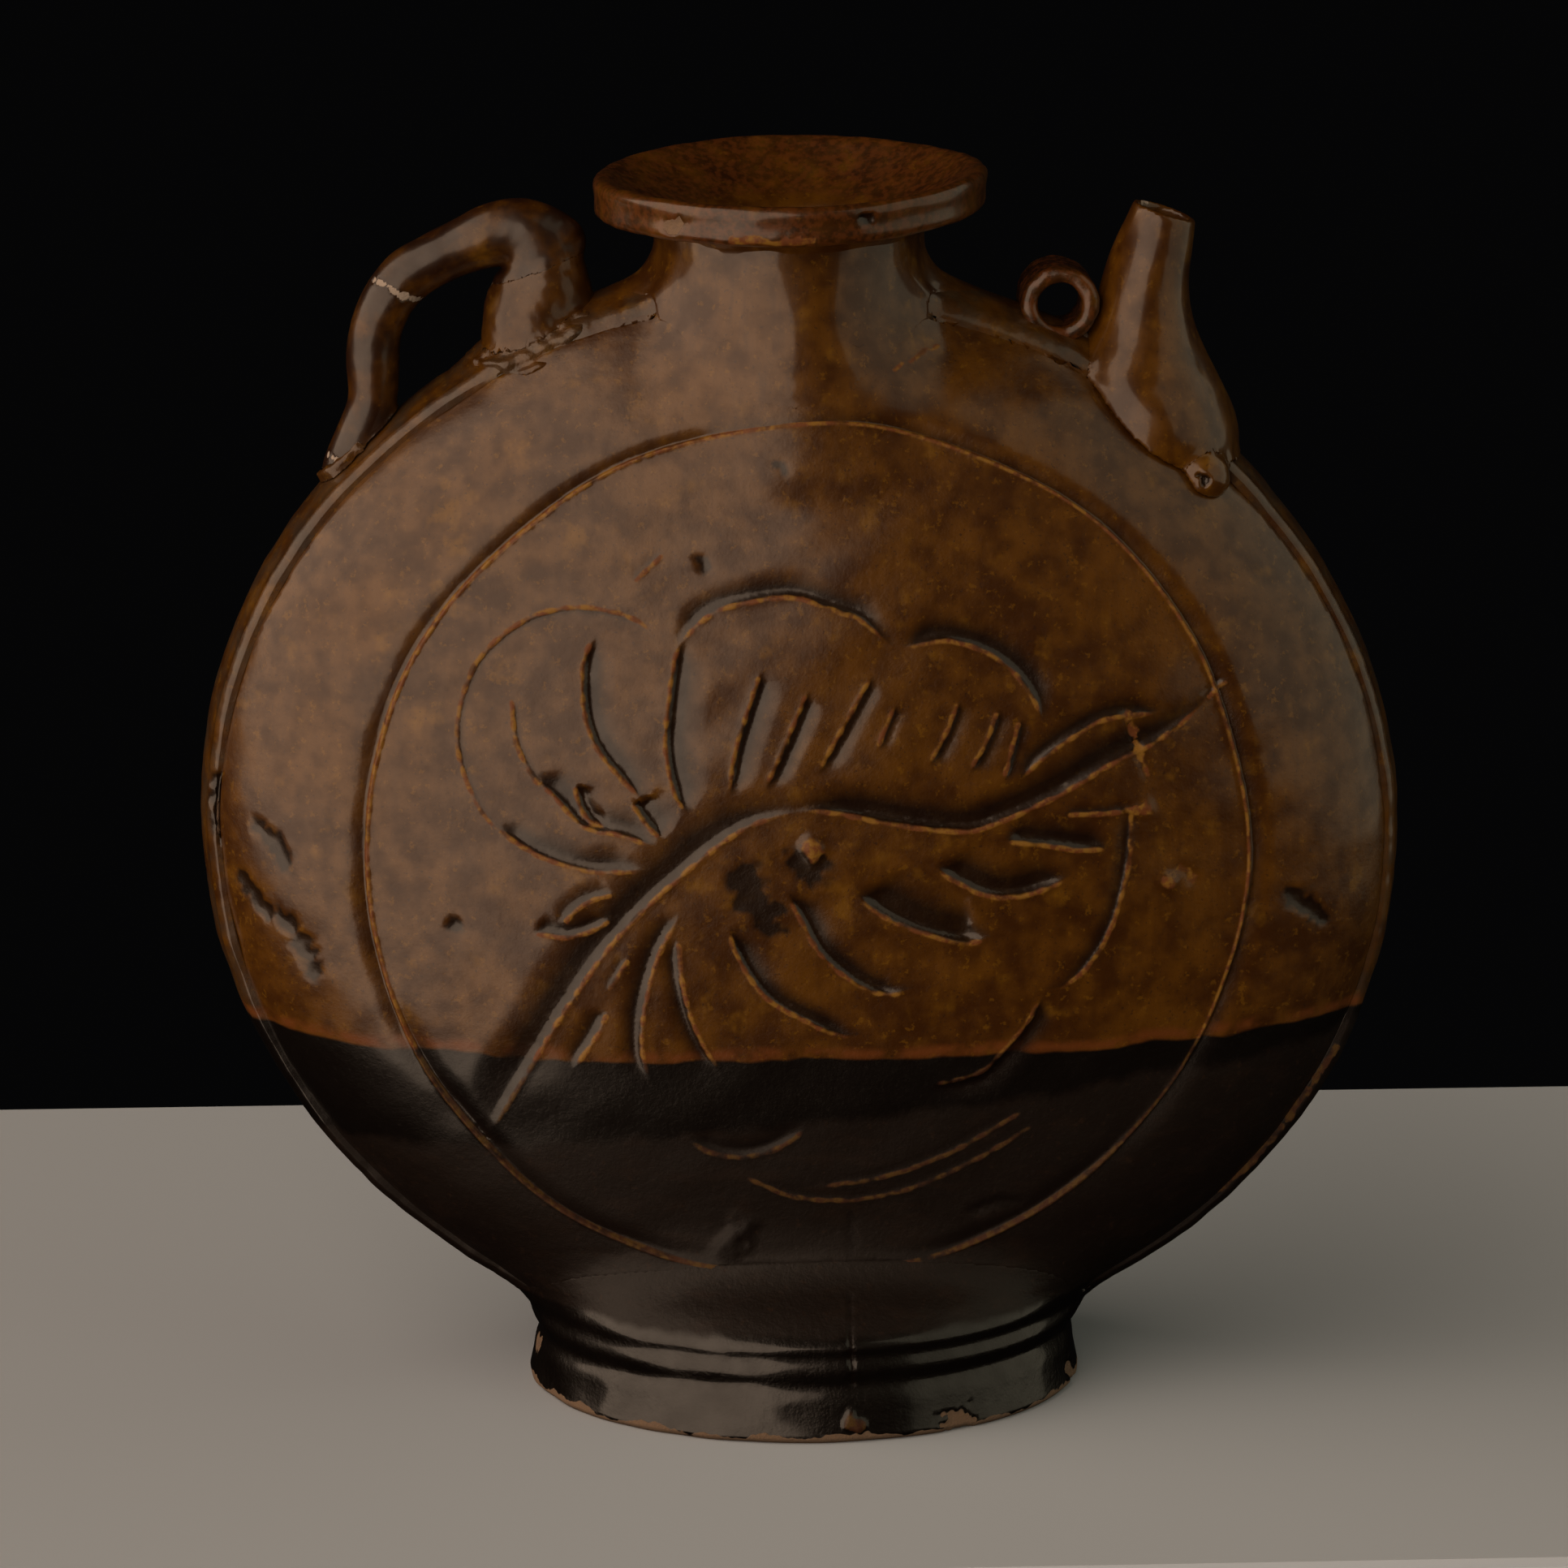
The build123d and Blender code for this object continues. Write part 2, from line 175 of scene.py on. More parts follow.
# %% [markdown]
# ## The bowl as a plate
#
# Each bowl was a plate on the wheel before it was squashed into an oval and stood on edge. It is easiest to
# draw on it while it is still a plate: a flat disc whose middle is the medallion and whose brim is the
# shoulder. Every place on the disc has one place on the bowl, and the maths below goes both ways.

# %% From the plate to the bowl and back
BODY_MIDDLE = 140.2
SQUASH_TURN = radians(9.9)
RIM_LONG, RIM_SHORT, RIM_DEPTH = 140.9, 128.9, 13.0
MEDALLION_RADIUS, MEDALLION_DEPTH, MEDALLION_DOME = 105.5, 34.5, 15.0
SHOULDER_TURNS = radians(22), radians(70)
BRIM = 45.0
DOME_BALL = (MEDALLION_RADIUS**2 + MEDALLION_DOME**2) / (2 * MEDALLION_DOME)
DOME_REACH = 150.0
HALVINGS, SIGHT_STEPS = 30, 8


def shoulder(share):
    """Half length, half height and depth of the shoulder's oval, from the medallion (0) to the rim (1)."""
    start, end = SHOULDER_TURNS
    turn = end + (start - end) * share
    out = (np.cos(turn) - cos(end)) / (cos(start) - cos(end))
    forward = (np.sin(turn) - sin(start)) / (sin(end) - sin(start))
    long = MEDALLION_RADIUS + (RIM_LONG - MEDALLION_RADIUS) * out
    short = MEDALLION_RADIUS + (RIM_SHORT - MEDALLION_RADIUS) * out
    return long, short, RIM_DEPTH + (MEDALLION_DEPTH - RIM_DEPTH) * forward


def bowl_place(p, q):
    """X, depth and Z on the bowl, in mm, of these places on the plate."""
    radius, turn = np.hypot(p, q), np.arctan2(q, p)
    long, short, depth = shoulder(np.clip((radius - MEDALLION_RADIUS) / BRIM, 0, 1))
    middle = radius < MEDALLION_RADIUS
    rise = np.sqrt(DOME_BALL**2 - np.minimum(radius, DOME_REACH) ** 2)
    dome = MEDALLION_DEPTH + MEDALLION_DOME - DOME_BALL + rise
    u = np.where(middle, p, long * np.cos(turn))
    v = np.where(middle, q, short * np.sin(turn))
    x = u * cos(SQUASH_TURN) + v * sin(SQUASH_TURN)
    z = BODY_MIDDLE - u * sin(SQUASH_TURN) + v * cos(SQUASH_TURN)
    return x, np.where(middle, dome, depth), z


def plate_place(x, z):
    """Places on the plate, and the depth there, of these places seen from the front."""
    u = x * cos(SQUASH_TURN) - (z - BODY_MIDDLE) * sin(SQUASH_TURN)
    v = x * sin(SQUASH_TURN) + (z - BODY_MIDDLE) * cos(SQUASH_TURN)
    near, far = np.zeros(len(u)), np.ones(len(u))
    for _ in range(HALVINGS):
        share = (near + far) / 2
        long, short, depth = shoulder(share)
        outside = (u / long) ** 2 + (v / short) ** 2 > 1
        near, far = np.where(outside, share, near), np.where(outside, far, share)
    middle = np.hypot(u, v) < MEDALLION_RADIUS
    turn = np.arctan2(v / short, u / long)
    radius = MEDALLION_RADIUS + BRIM * share
    p, q = np.where(middle, u, radius * np.cos(turn)), np.where(middle, v, radius * np.sin(turn))
    return p, q, bowl_place(p, q)[1]


def from_photo(pixels):
    """Places on the plate of these places in the photograph."""
    ways, start = sight(pixels), np.array(CAMERA_PLACE) / MM
    depth = np.full(len(ways), MEDALLION_DEPTH)
    for _ in range(SIGHT_STEPS):
        reach = (-depth - start[1]) / ways[:, 1]
        p, q, depth = plate_place(start[0] + ways[:, 0] * reach, start[2] + ways[:, 2] * reach)
    return np.column_stack([p, q])


print("medallion's edge in the photograph lands", from_photo([(996, 515), (457, 1044)]).round(1))

# %% [markdown]
# ## The cut drawing
#
# The plant was cut freehand with a slanting blade. Each stroke has a sharp lip on one side, where the glaze
# ran thin and broke to rust and gold, and a hollow that eases out on the other, where it pooled dark. So a
# stroke is written down as its line read off the photograph, the side its hollow lies on, and
# the hollow's width and depth in millimetres.

# %% The strokes
LEFT, RIGHT = 1, -1
STROKES = {
    "stem_low": ([(595, 1410), (645, 1330), (690, 1255), (745, 1175), (800, 1115), (845, 1075),
                  (875, 1050), (920, 1020), (965, 1005), (1010, 1000)], LEFT, 8.0, 1.1),
    "stem_high": ([(965, 1005), (1010, 1000), (1065, 1010), (1125, 1020), (1190, 1025), (1240, 1010),
                   (1305, 980), (1365, 945), (1425, 915), (1470, 880), (1510, 840)], LEFT, 6.5, 1.3),
    "leaf_edge": ([(1255, 965), (1280, 940), (1320, 910), (1370, 885), (1420, 880), (1440, 875)],
                  LEFT, 4.0, 0.8),
    "left_lobe": ([(820, 800), (785, 765), (735, 750), (690, 750), (645, 765), (605, 795), (580, 830),
                   (565, 880), (565, 930), (580, 975), (605, 1015), (645, 1045)], LEFT, 1.6, 0.35),
    "left_lobe_foot": ([(605, 1015), (645, 1045), (690, 1065), (735, 1075), (805, 1073)], LEFT, 5.0, 0.8),
    "left_inner": ([(630, 855), (635, 910), (655, 955), (675, 980)], LEFT, 1.4, 0.35),
    "left_inner_foot": ([(655, 955), (685, 985), (720, 1020), (765, 1030), (815, 1047)], LEFT, 5.5, 0.9),
    "left_comma": ([(735, 780), (720, 810), (717, 845), (722, 890), (740, 930), (775, 970), (800, 995)],
                   LEFT, 5.0, 1.1),
    "gouge_small": ([(708, 965), (712, 990), (725, 1012), (750, 1022)], LEFT, 4.0, 1.4),
    "gouge_root": ([(778, 990), (795, 1015), (815, 1035)], LEFT, 6.0, 1.6),
    "big_lobe_side": ([(848, 1008), (830, 975), (820, 925), (822, 880), (833, 805), (850, 780)],
                      RIGHT, 5.5, 1.0),
    "big_lobe_top": ([(833, 802), (850, 780), (880, 755), (920, 743), (975, 737), (1020, 750), (1060, 765),
                      (1095, 795), (1105, 800)], LEFT, 4.5, 0.8),
    "next_lobe": ([(1110, 800), (1160, 790), (1205, 800), (1240, 820), (1270, 855), (1285, 895)],
                  LEFT, 5.0, 0.9),
    "hatch_a": ([(938, 825), (920, 880), (905, 930), (897, 985)], LEFT, 4.0, 1.0),
    "hatch_b": ([(995, 850), (975, 900), (955, 945), (940, 975)], LEFT, 3.6, 0.9),
    "hatch_c": ([(1075, 830), (1045, 885), (1020, 930), (1005, 955)], LEFT, 3.4, 0.7),
    "hatch_d": ([(1103, 868), (1092, 895), (1080, 925)], LEFT, 2.4, 0.5),
    "hatch_e": ([(1182, 862), (1165, 905), (1142, 945)], LEFT, 3.0, 0.6),
    "hatch_f": ([(1230, 873), (1215, 915), (1193, 952)], LEFT, 3.0, 0.6),
    "hatch_g": ([(1257, 885), (1245, 930), (1236, 965)], LEFT, 2.6, 0.6),
    "tuft_low": ([(655, 1150), (700, 1155), (735, 1145), (757, 1130)], LEFT, 4.5, 0.8),
    "tuft_high": ([(692, 1140), (722, 1113), (760, 1102)], LEFT, 3.5, 0.6),
    "fern_a": ([(840, 1125), (815, 1170), (800, 1215), (792, 1260), (793, 1305), (806, 1338)],
               RIGHT, 4.5, 0.8),
    "fern_b": ([(835, 1150), (840, 1205), (852, 1255), (872, 1297), (892, 1325)], RIGHT, 3.6, 0.7),
    "fern_c": ([(775, 1180), (760, 1205), (748, 1222)], RIGHT, 2.0, 0.3),
    "fern_d": ([(750, 1245), (733, 1280), (706, 1318)], RIGHT, 4.2, 0.7),
    "curl_a": ([(897, 1140), (903, 1165), (920, 1200), (950, 1235), (995, 1260), (1035, 1277), (1065, 1277)],
               LEFT, 4.2, 0.9),
    "curl_b": ([(967, 1098), (990, 1140), (1012, 1178), (1050, 1210), (1090, 1227), (1130, 1218)],
               LEFT, 4.6, 1.0),
    "curl_c": ([(1053, 1103), (1090, 1130), (1135, 1150), (1190, 1162), (1225, 1153)], LEFT, 9.0, 1.7),
    "curl_d": ([(1150, 1068), (1180, 1088), (1218, 1104), (1255, 1105), (1295, 1092), (1322, 1078)],
               LEFT, 7.0, 1.3),
    "curl_e": ([(1236, 1037), (1290, 1042), (1335, 1048), (1372, 1045)], LEFT, 5.5, 0.9),
    "curl_f": ([(1310, 1004), (1355, 1003), (1405, 998)], LEFT, 2.2, 0.4),
    "right_arc": ([(1393, 985), (1393, 1045), (1385, 1090), (1368, 1145), (1340, 1190), (1310, 1215),
                   (1284, 1220)], RIGHT, 3.0, 0.5),
    "right_tail": ([(1283, 1225), (1265, 1260), (1240, 1290), (1210, 1320), (1180, 1330), (1140, 1337)],
                   LEFT, 4.5, 1.0),
    "dark_curl_a": ([(845, 1402), (880, 1422), (920, 1426), (960, 1415), (1000, 1387)], LEFT, 4.0, 1.0),
    "dark_curl_b": ([(1000, 1463), (1080, 1452), (1160, 1425), (1245, 1378), (1275, 1355)], LEFT, 2.0, 0.3),
    "dark_curl_c": ([(900, 1440), (980, 1475), (1080, 1475), (1180, 1440), (1300, 1370)], LEFT, 2.0, 0.2),
    "slip": ([(780, 718), (800, 700), (820, 680)], LEFT, 1.5, 0.3),
    "stem_end": ([(1488, 862), (1515, 838)], LEFT, 2.0, 0.4),
}
CURVE_STEPS, LINE_STEP = 24, 0.7


def smooth_line(points):
    """An even row of points on a smooth curve through these ones (Catmull and Rom's)."""
    knots = np.vstack([2 * points[0] - points[1], points, 2 * points[-1] - points[-2]])
    share = np.linspace(0, 1, CURVE_STEPS, endpoint=False)[:, None]
    runs = []
    for a, b, c, d in zip(knots, knots[1:], knots[2:], knots[3:]):
        bend = 2 * a - 5 * b + 4 * c - d + share * (3 * (b - c) + d - a)
        runs.append(b + 0.5 * share * (c - a + share * bend))
    line = np.vstack(runs + [points[-1:]])
    along = np.concatenate([[0], np.cumsum(np.linalg.norm(np.diff(line, axis=0), axis=1))])
    even = np.linspace(0, along[-1], max(3, int(along[-1] / LINE_STEP)))
    return np.column_stack([np.interp(even, along, line[:, axis]) for axis in (0, 1)])


lines = {name: smooth_line(from_photo(stroke[0])) for name, stroke in STROKES.items()}
cut_length = sum(len(line) for line in lines.values()) * LINE_STEP * MM
print(len(lines), "strokes,", round(cut_length, 1), "metres of cutting")

# %% [markdown]
# Clay under a hand is never dead even. A few long waves with fixed seeds give each surface its slight
# unevenness, and the same helper, with shorter waves, roughens a lip or a broken edge.

# %% Unevenness
def unevenness(places, wavelength, seed, waves=14):
    """Smooth values between about -1 and 1 that change over this length, the same on every run."""
    dice = np.random.default_rng(seed)
    ways = dice.normal(size=(waves, places.shape[1]))
    ways /= np.linalg.norm(ways, axis=1)[:, None]
    pitch = 2 * pi / (wavelength * dice.uniform(0.7, 1.6, waves))
    return np.sin(places @ (ways * pitch[:, None]).T + dice.uniform(0, 2 * pi, waves)).sum(1) / sqrt(waves)


def ease(value):
    """0 below 0, 1 above 1, and a soft step between."""
    value = np.clip(value, 0, 1)
    return value * value * (3 - 2 * value)


# %% [markdown]
# A stroke raises a low crest at its lip and sinks a scoop behind it that eases out to nothing. It also says
# how much of each place is lip and how much is hollow, for the glaze. The ring round the medallion works
# the same way.

# %% What a stroke does to the clay
STROKE_REACH, SCOOP_EDGE = 1.6, 1.8
CREST_HEIGHT, CREST_WIDTH, LIP_WIDTH = 0.10, 0.7, 0.75
PAIRS_AT_ONCE = 4_000_000
RING_HOLLOW, RING_DEPTH, RING_CREST = 5.5, 1.5, 0.3


def stroke_marks(places, line, side, width, depth):
    """The height that one stroke adds at these places, how much it is lip there, and how much it is hollow."""
    height, lip, hollow = (np.zeros(len(places)) for _ in range(3))
    low, high = line.min(0) - STROKE_REACH * width - 2, line.max(0) + STROKE_REACH * width + 2
    near = np.flatnonzero(((places > low) & (places < high)).all(1))
    for part in np.array_split(near, max(1, len(near) * len(line) // PAIRS_AT_ONCE)):
        if not len(part):
            continue
        gaps = ((places[part][:, None] - line[None]) ** 2).sum(2)
        nearest = gaps.argmin(1)
        away = np.sqrt(gaps[np.arange(len(part)), nearest])
        travel = np.gradient(line, axis=0)[nearest]
        off = places[part] - line[nearest]
        across = side * np.sign(travel[:, 0] * off[:, 1] - travel[:, 1] * off[:, 0]) * away
        share = nearest / (len(line) - 1)
        fade = ease(share / 0.16) * ease((1 - share) / 0.24)
        reach = STROKE_REACH * width * (0.4 + 0.6 * fade)
        share = np.clip(across / reach, 0, 1)
        scoop = np.where(across >= 0, ease(across / SCOOP_EDGE) * (1 - share) ** 2 * (1 + 2 * share), 0) * fade
        rough = np.clip(0.85 + 0.3 * unevenness(places[part], 4.0, 5), 0.2, 1.2)
        height[part] = CREST_HEIGHT * np.exp(-((across / CREST_WIDTH) ** 2)) * fade * rough - depth * scoop
        lip[part] = np.exp(-((across / LIP_WIDTH) ** 2)) * ease(fade * 1.8) * rough
        filled = ease(across / CREST_WIDTH) * (1 - ease(share)) * sqrt(min(1, depth))
        hollow[part] = np.where(across >= 0, filled, 0) * fade**0.5
    return height, lip, hollow


def ring_marks(places):
    """The same for the ring round the medallion. Its hollow lies outside it above, and inside it below."""
    radius = np.hypot(*places.T) - MEDALLION_RADIUS + 0.5 * unevenness(places, 60, 3)
    below = ease((-places[:, 1] - 45) / 30)
    height, hollow = np.zeros(len(places)), np.zeros(len(places))
    for across, share in ((radius, 1 - below), (-radius, below)):
        inner = np.clip(1 - across / RING_HOLLOW, 0, 1) ** 1.5
        slope = np.where(across >= 0, ease(across / CREST_WIDTH) * inner, 0)
        height -= RING_DEPTH * slope * share
        hollow = np.maximum(hollow, slope * share * (0.4 + 0.6 * below))
    rough = 1 + 0.35 * unevenness(places, 2.2, 4)
    return height + RING_CREST * np.exp(-((radius / 0.6) ** 2)) * rough, np.exp(-((radius / 0.8) ** 2)), hollow


# %% [markdown]
# ## The front bowl
#
# A cut lip is about a millimetre wide and the bowl almost three hundred, so an even mesh fine enough for
# the lips would have a million faces. Instead points are laid in rows beside every stroke, close together
# at the lip and wider out, with a loose even net over the rest, and a Delaunay triangulation joins them all
# on the flat plate. Then the plate is bent into the bowl and each point is pushed in or out along the
# surface.

# %% Points for the front
ROWS = np.array([-2.2, -1.2, -0.6, -0.25, 0.05, 0.35, 0.7, 1.1, 1.7, 2.5, 3.6, 4.9])
RIM_STEPS, RING_STEPS = 540, 900
NET_ROW = 0.866
FRONT_NET, FRONT_GAP, BACK_NET, INNER_NET = 1.5, 0.9, 2.4, 6.0


def net(spacing, radius):
    """An even net of points, three ways to each other, inside this radius."""
    steps = np.arange(-radius, radius + spacing, spacing)
    most = int(radius / spacing / NET_ROW) + 1
    rows = [np.column_stack([steps + (k % 2) * spacing / 2, np.full(len(steps), k * spacing * NET_ROW)])
            for k in range(-most, most + 1)]
    places = np.vstack(rows)
    return places[np.hypot(*places.T) < radius - spacing * 0.6]


def beside(line, side, width):
    """Rows of points along a stroke, reaching out over its hollow."""
    travel = np.gradient(line, axis=0)
    normal = np.column_stack([-travel[:, 1], travel[:, 0]]) / np.linalg.norm(travel, axis=1)[:, None] * side
    rows = []
    for k, row in enumerate(ROWS):
        start, stride = (0, 1) if abs(row) < 1.0 else (k % 2, 2)
        if row <= width + 0.5:
            rows.append(line[start::stride] + normal[start::stride] * row)
    return np.vstack(rows)


def thinned(places, taken, gap):
    """Those places whose cell of a grid of this gap holds none of the taken ones."""
    cells = {tuple(cell) for cell in np.floor(taken / gap).astype(int)}
    keep = [tuple(cell) not in cells for cell in np.floor(places / gap).astype(int)]
    return places[np.array(keep)]


def front_places():
    rows = [beside(lines[name], stroke[1], stroke[2]) for name, stroke in STROKES.items()]
    turn = np.linspace(0, 2 * pi, RING_STEPS, endpoint=False)
    rows += [(MEDALLION_RADIUS + row) * np.column_stack([np.cos(turn), np.sin(turn)]) for row in ROWS]
    fine = np.vstack(rows)
    fine = fine[np.hypot(*fine.T) < MEDALLION_RADIUS + BRIM - 1]
    return np.vstack([fine, thinned(net(FRONT_NET, MEDALLION_RADIUS + BRIM), fine, FRONT_GAP)])


print(len(front_places()), "points on the front's plate")

# %% [markdown]
# The foot is an oval ring. Its wall stands almost upright as far as the second groove. Above that it leans
# in to the body in front and behind, and out to it at the sides.

# %% The foot's and the neck's sizes
FOOT_SHIFT, FOOT_SIDE, FOOT_FRONT, FOOT_WAIST, FOOT_WALL, FOOT_TOP = 0.8, 67.8, 59.0, 12.0, 22.0, 42.0
WAIST_DEPTH, SIDE_FLARE, FRONT_LEAN = 1.6, 14, 24
NECK_SHIFT, NECK_RADIUS, NECK_BORE, NECK_LOW, NECK_TOP = -2.9, 31.3, 24.0, 236.0, 282.0


def foot_oval(z):
    """Half width and half depth of the foot's outside at this height."""
    waist = WAIST_DEPTH * np.sin(pi / 2 * np.clip(z / FOOT_WAIST, 0, 1))
    climb = np.clip((z - FOOT_WALL) / (FOOT_TOP - FOOT_WALL), 0, 1.2)
    return (FOOT_SIDE - waist + SIDE_FLARE * climb**2,
            FOOT_FRONT - waist - FRONT_LEAN * climb**2 * (3 - 2 * climb))


print("the foot is", 2 * FOOT_SIDE, "by", 2 * FOOT_FRONT, "mm")

# %% [markdown]
# ## From numbers to clay
#
# Every piece below ends the same way: points in millimetres and faces become a mesh in metres, with a
# number at each point for every finish that the glaze will read later. "lip" is a burr that broke to gold,
# and one lip under the mouth's flange is a painted glint; "pool" is a hollow with thick glaze, "bare" clay
# without glaze and "pale" a dry white crack or streak.

# %% A piece from points and faces
FINISHES = ("lip", "pool", "bare", "pale")


def clay_piece(name, points, faces, finishes=None):
    """A smooth mesh object from points in mm, with its finish numbers."""
    mesh = bpy.data.meshes.new(name)
    mesh.from_pydata((np.asarray(points) * MM).tolist(), [], [list(map(int, face)) for face in faces])
    mesh.validate()
    mesh.shade_smooth()
    for finish in FINISHES:
        values = (finishes or {}).get(finish, np.zeros(len(mesh.vertices)))
        mesh.attributes.new(finish, "FLOAT", "POINT").data.foreach_set("value", np.asarray(values, float))
    return placed(name, mesh)


def points_of(piece):
    """A piece's points in mm."""
    flat = np.empty(len(piece.data.vertices) * 3)
    piece.data.vertices.foreach_get("co", flat)
    return flat.reshape(-1, 3) / MM


def normals_of(piece):
    flat = np.empty(len(piece.data.vertices) * 3)
    piece.data.vertex_normals.foreach_get("vector", flat)
    return flat.reshape(-1, 3)


def moved(piece, points):
    """Puts the piece's points at these places in mm."""
    piece.data.vertices.foreach_set("co", (points * MM).ravel())
    piece.data.update()


def baked(piece):
    """The piece with its modifiers made real."""
    bpy.context.view_layer.update()
    real = bpy.data.meshes.new_from_object(piece.evaluated_get(bpy.context.evaluated_depsgraph_get()))
    piece.modifiers.clear()
    piece.data = real
    real.shade_smooth()
    return piece


def bored(piece, cutters):
    """The piece with these passages cut out of it."""
    for cutter in cutters:
        cut = piece.modifiers.new("passage", "BOOLEAN")
        cut.object, cut.operation, cut.solver = cutter, "DIFFERENCE", "EXACT"
    return baked(piece)


def rod(name, low, high, radius):
    """A plain round rod between two places in mm, to cut with."""
    mesh = bpy.data.meshes.new(name)
    shape = bmesh.new()
    low, high = Vector(low), Vector(high)
    turn = (high - low).to_track_quat("Z", "Y").to_matrix().to_4x4()
    place = Matrix.Translation((low + high) / 2 * MM) @ turn
    bmesh.ops.create_cone(shape, cap_ends=True, segments=96, radius1=radius * MM, radius2=radius * MM,
                          depth=(high - low).length * MM, matrix=place)
    shape.to_mesh(mesh)
    return placed(name, mesh)


SPOUT_TIP, SPOUT_UP = Vector((86.68, 0, 289.63)), Vector((0.199368, 0, 0.979925))
WELL_RADIUS, WELL_START, WELL_END = 9.0, 32, 60
neck_passage = rod("neck_passage", (NECK_SHIFT, 0, 200), (NECK_SHIFT, 0, 300), NECK_BORE)
spout_passage = rod("spout_passage", SPOUT_TIP - SPOUT_UP * WELL_END, SPOUT_TIP - SPOUT_UP * WELL_START,
                    WELL_RADIUS)
print("two passages to cut")

# %% [markdown]
# ## Wear
#
# Handling leaves chips, pits, scars and fine cracks on a flask, and the kiln has already left some of its
# own. Each mark is a short line in the photograph again. It is thrown from the camera on to the piece that
# it lies on, dents the clay there, and leaves its finish.

# %% Where the wear lies
#   piece: [(finish, its line in the photograph, width in mm, depth in mm), ...]
MARKS = {
    "front_bowl": [
        ("pool", [(958, 574), (963, 577)], 1.0, 0.6), ("pool", [(866, 694), (870, 697)], 1.2, 0.8),
        ("pool", [(558, 1138), (562, 1143)], 1.2, 0.8), ("pool", [(990, 1062), (1004, 1068)], 3.0, 0.2),
        ("lip", [(998, 1043), (1002, 1048)], 2.0, -1.2),
        ("pool", [(915, 1085), (925, 1110), (945, 1132)], 3.4, 0.2),
        ("lip", [(1438, 1084), (1442, 1087)], 1.2, -0.8),
        ("lip", [(1100, 456), (1128, 440), (1150, 430)], 0.7, -0.1),
        ("lip", [(1390, 880), (1400, 915), (1412, 955)], 0.8, 0.2),
        ("lip", [(1455, 1070), (1463, 1076), (1472, 1082)], 0.9, 0.3),
        ("pool", [(1050, 1492), (1047, 1560)], 0.5, 0.3),
        ("lip", [(1402, 996), (1410, 996)], 1.6, -0.4),
        ("pool", [(320, 1022), (338, 1040), (355, 1062)], 1.8, 0.5),
        ("pool", [(297, 1082), (312, 1100), (330, 1122)], 1.7, 0.45),
        ("pool", [(352, 1132), (358, 1142)], 1.8, 0.6), ("pool", [(372, 1162), (377, 1172)], 2.0, 0.6),
        ("pool", [(384, 1192), (388, 1200)], 1.6, 0.5),
        ("pool", [(1594, 1106), (1612, 1116), (1628, 1128)], 2.0, 0.4),
        ("pool", [(890, 1545), (905, 1528), (915, 1512)], 2.4, -0.9),
        ("pool", [(1205, 1492), (1250, 1478)], 1.6, 0.7),
    ],
    "edge_strap": [
        ("pool", [(268, 962), (272, 1010), (277, 1048)], 1.8, 0.9),
        ("bare", [(270, 985), (273, 1025)], 0.8, 0.3),
        ("lip", [(1646, 1292), (1592, 1370), (1545, 1430), (1500, 1468)], 0.8, -0.1),
    ],
    "mouth_dish": [
        ("bare", [(824, 279), (836, 276)], 1.3, 0.6),
        # This gold lip line under the flange is a painted glint.
        ("lip", [(903, 297), (950, 299), (1000, 297)], 1.0, 0.2),
        ("pool", [(1066, 268), (1070, 270)], 1.2, 1.0),
    ],
    "foot_ring": [
        ("bare", [(1152, 1774), (1178, 1768), (1206, 1762)], 3.2, 0.7),
        ("bare", [(1170, 1756), (1190, 1752)], 2.4, 0.5), ("bare", [(730, 1745), (742, 1749)], 2.2, 0.9),
        ("lip", [(1046, 1754), (1055, 1757)], 1.8, -0.8), ("bare", [(658, 1648), (662, 1656)], 2.0, 0.8),
        ("bare", [(1318, 1686), (1323, 1694)], 2.0, 0.8), ("pool", [(1047, 1600), (1050, 1705)], 0.5, 0.4),
    ],
    "handle_coil": [
        ("pale", [(461, 344), (478, 352), (492, 365), (512, 369), (529, 368)], 0.7, 0.4),
        ("pale", [(404, 560), (414, 566), (424, 572)], 0.7, 0.3),
    ],
    "fan_root": [
        ("pale", [(609, 348), (618, 338), (630, 333)], 0.8, 0.4),
        ("pale", [(660, 328), (672, 322), (682, 321)], 0.7, 0.4),
    ],
    "spout_heel": [("pool", [(1483, 589), (1486, 592)], 1.1, 1.6)],
    "spout": [("pale", [(1408, 250), (1425, 246), (1445, 252)], 0.7, 0.1)],
}


PIXELS_APART = 4


def on_piece(points, faces, pixels):
    """Where lines of sight through the photograph first meet a piece, in mm."""
    tree = BVHTree.FromPolygons([Vector(p) for p in points], faces)
    start = CAMERA_PLACE / MM
    hits = [tree.ray_cast(start, Vector(way).normalized())[0] for way in sight(pixels)]
    return np.array([tuple(hit) for hit in hits if hit is not None])


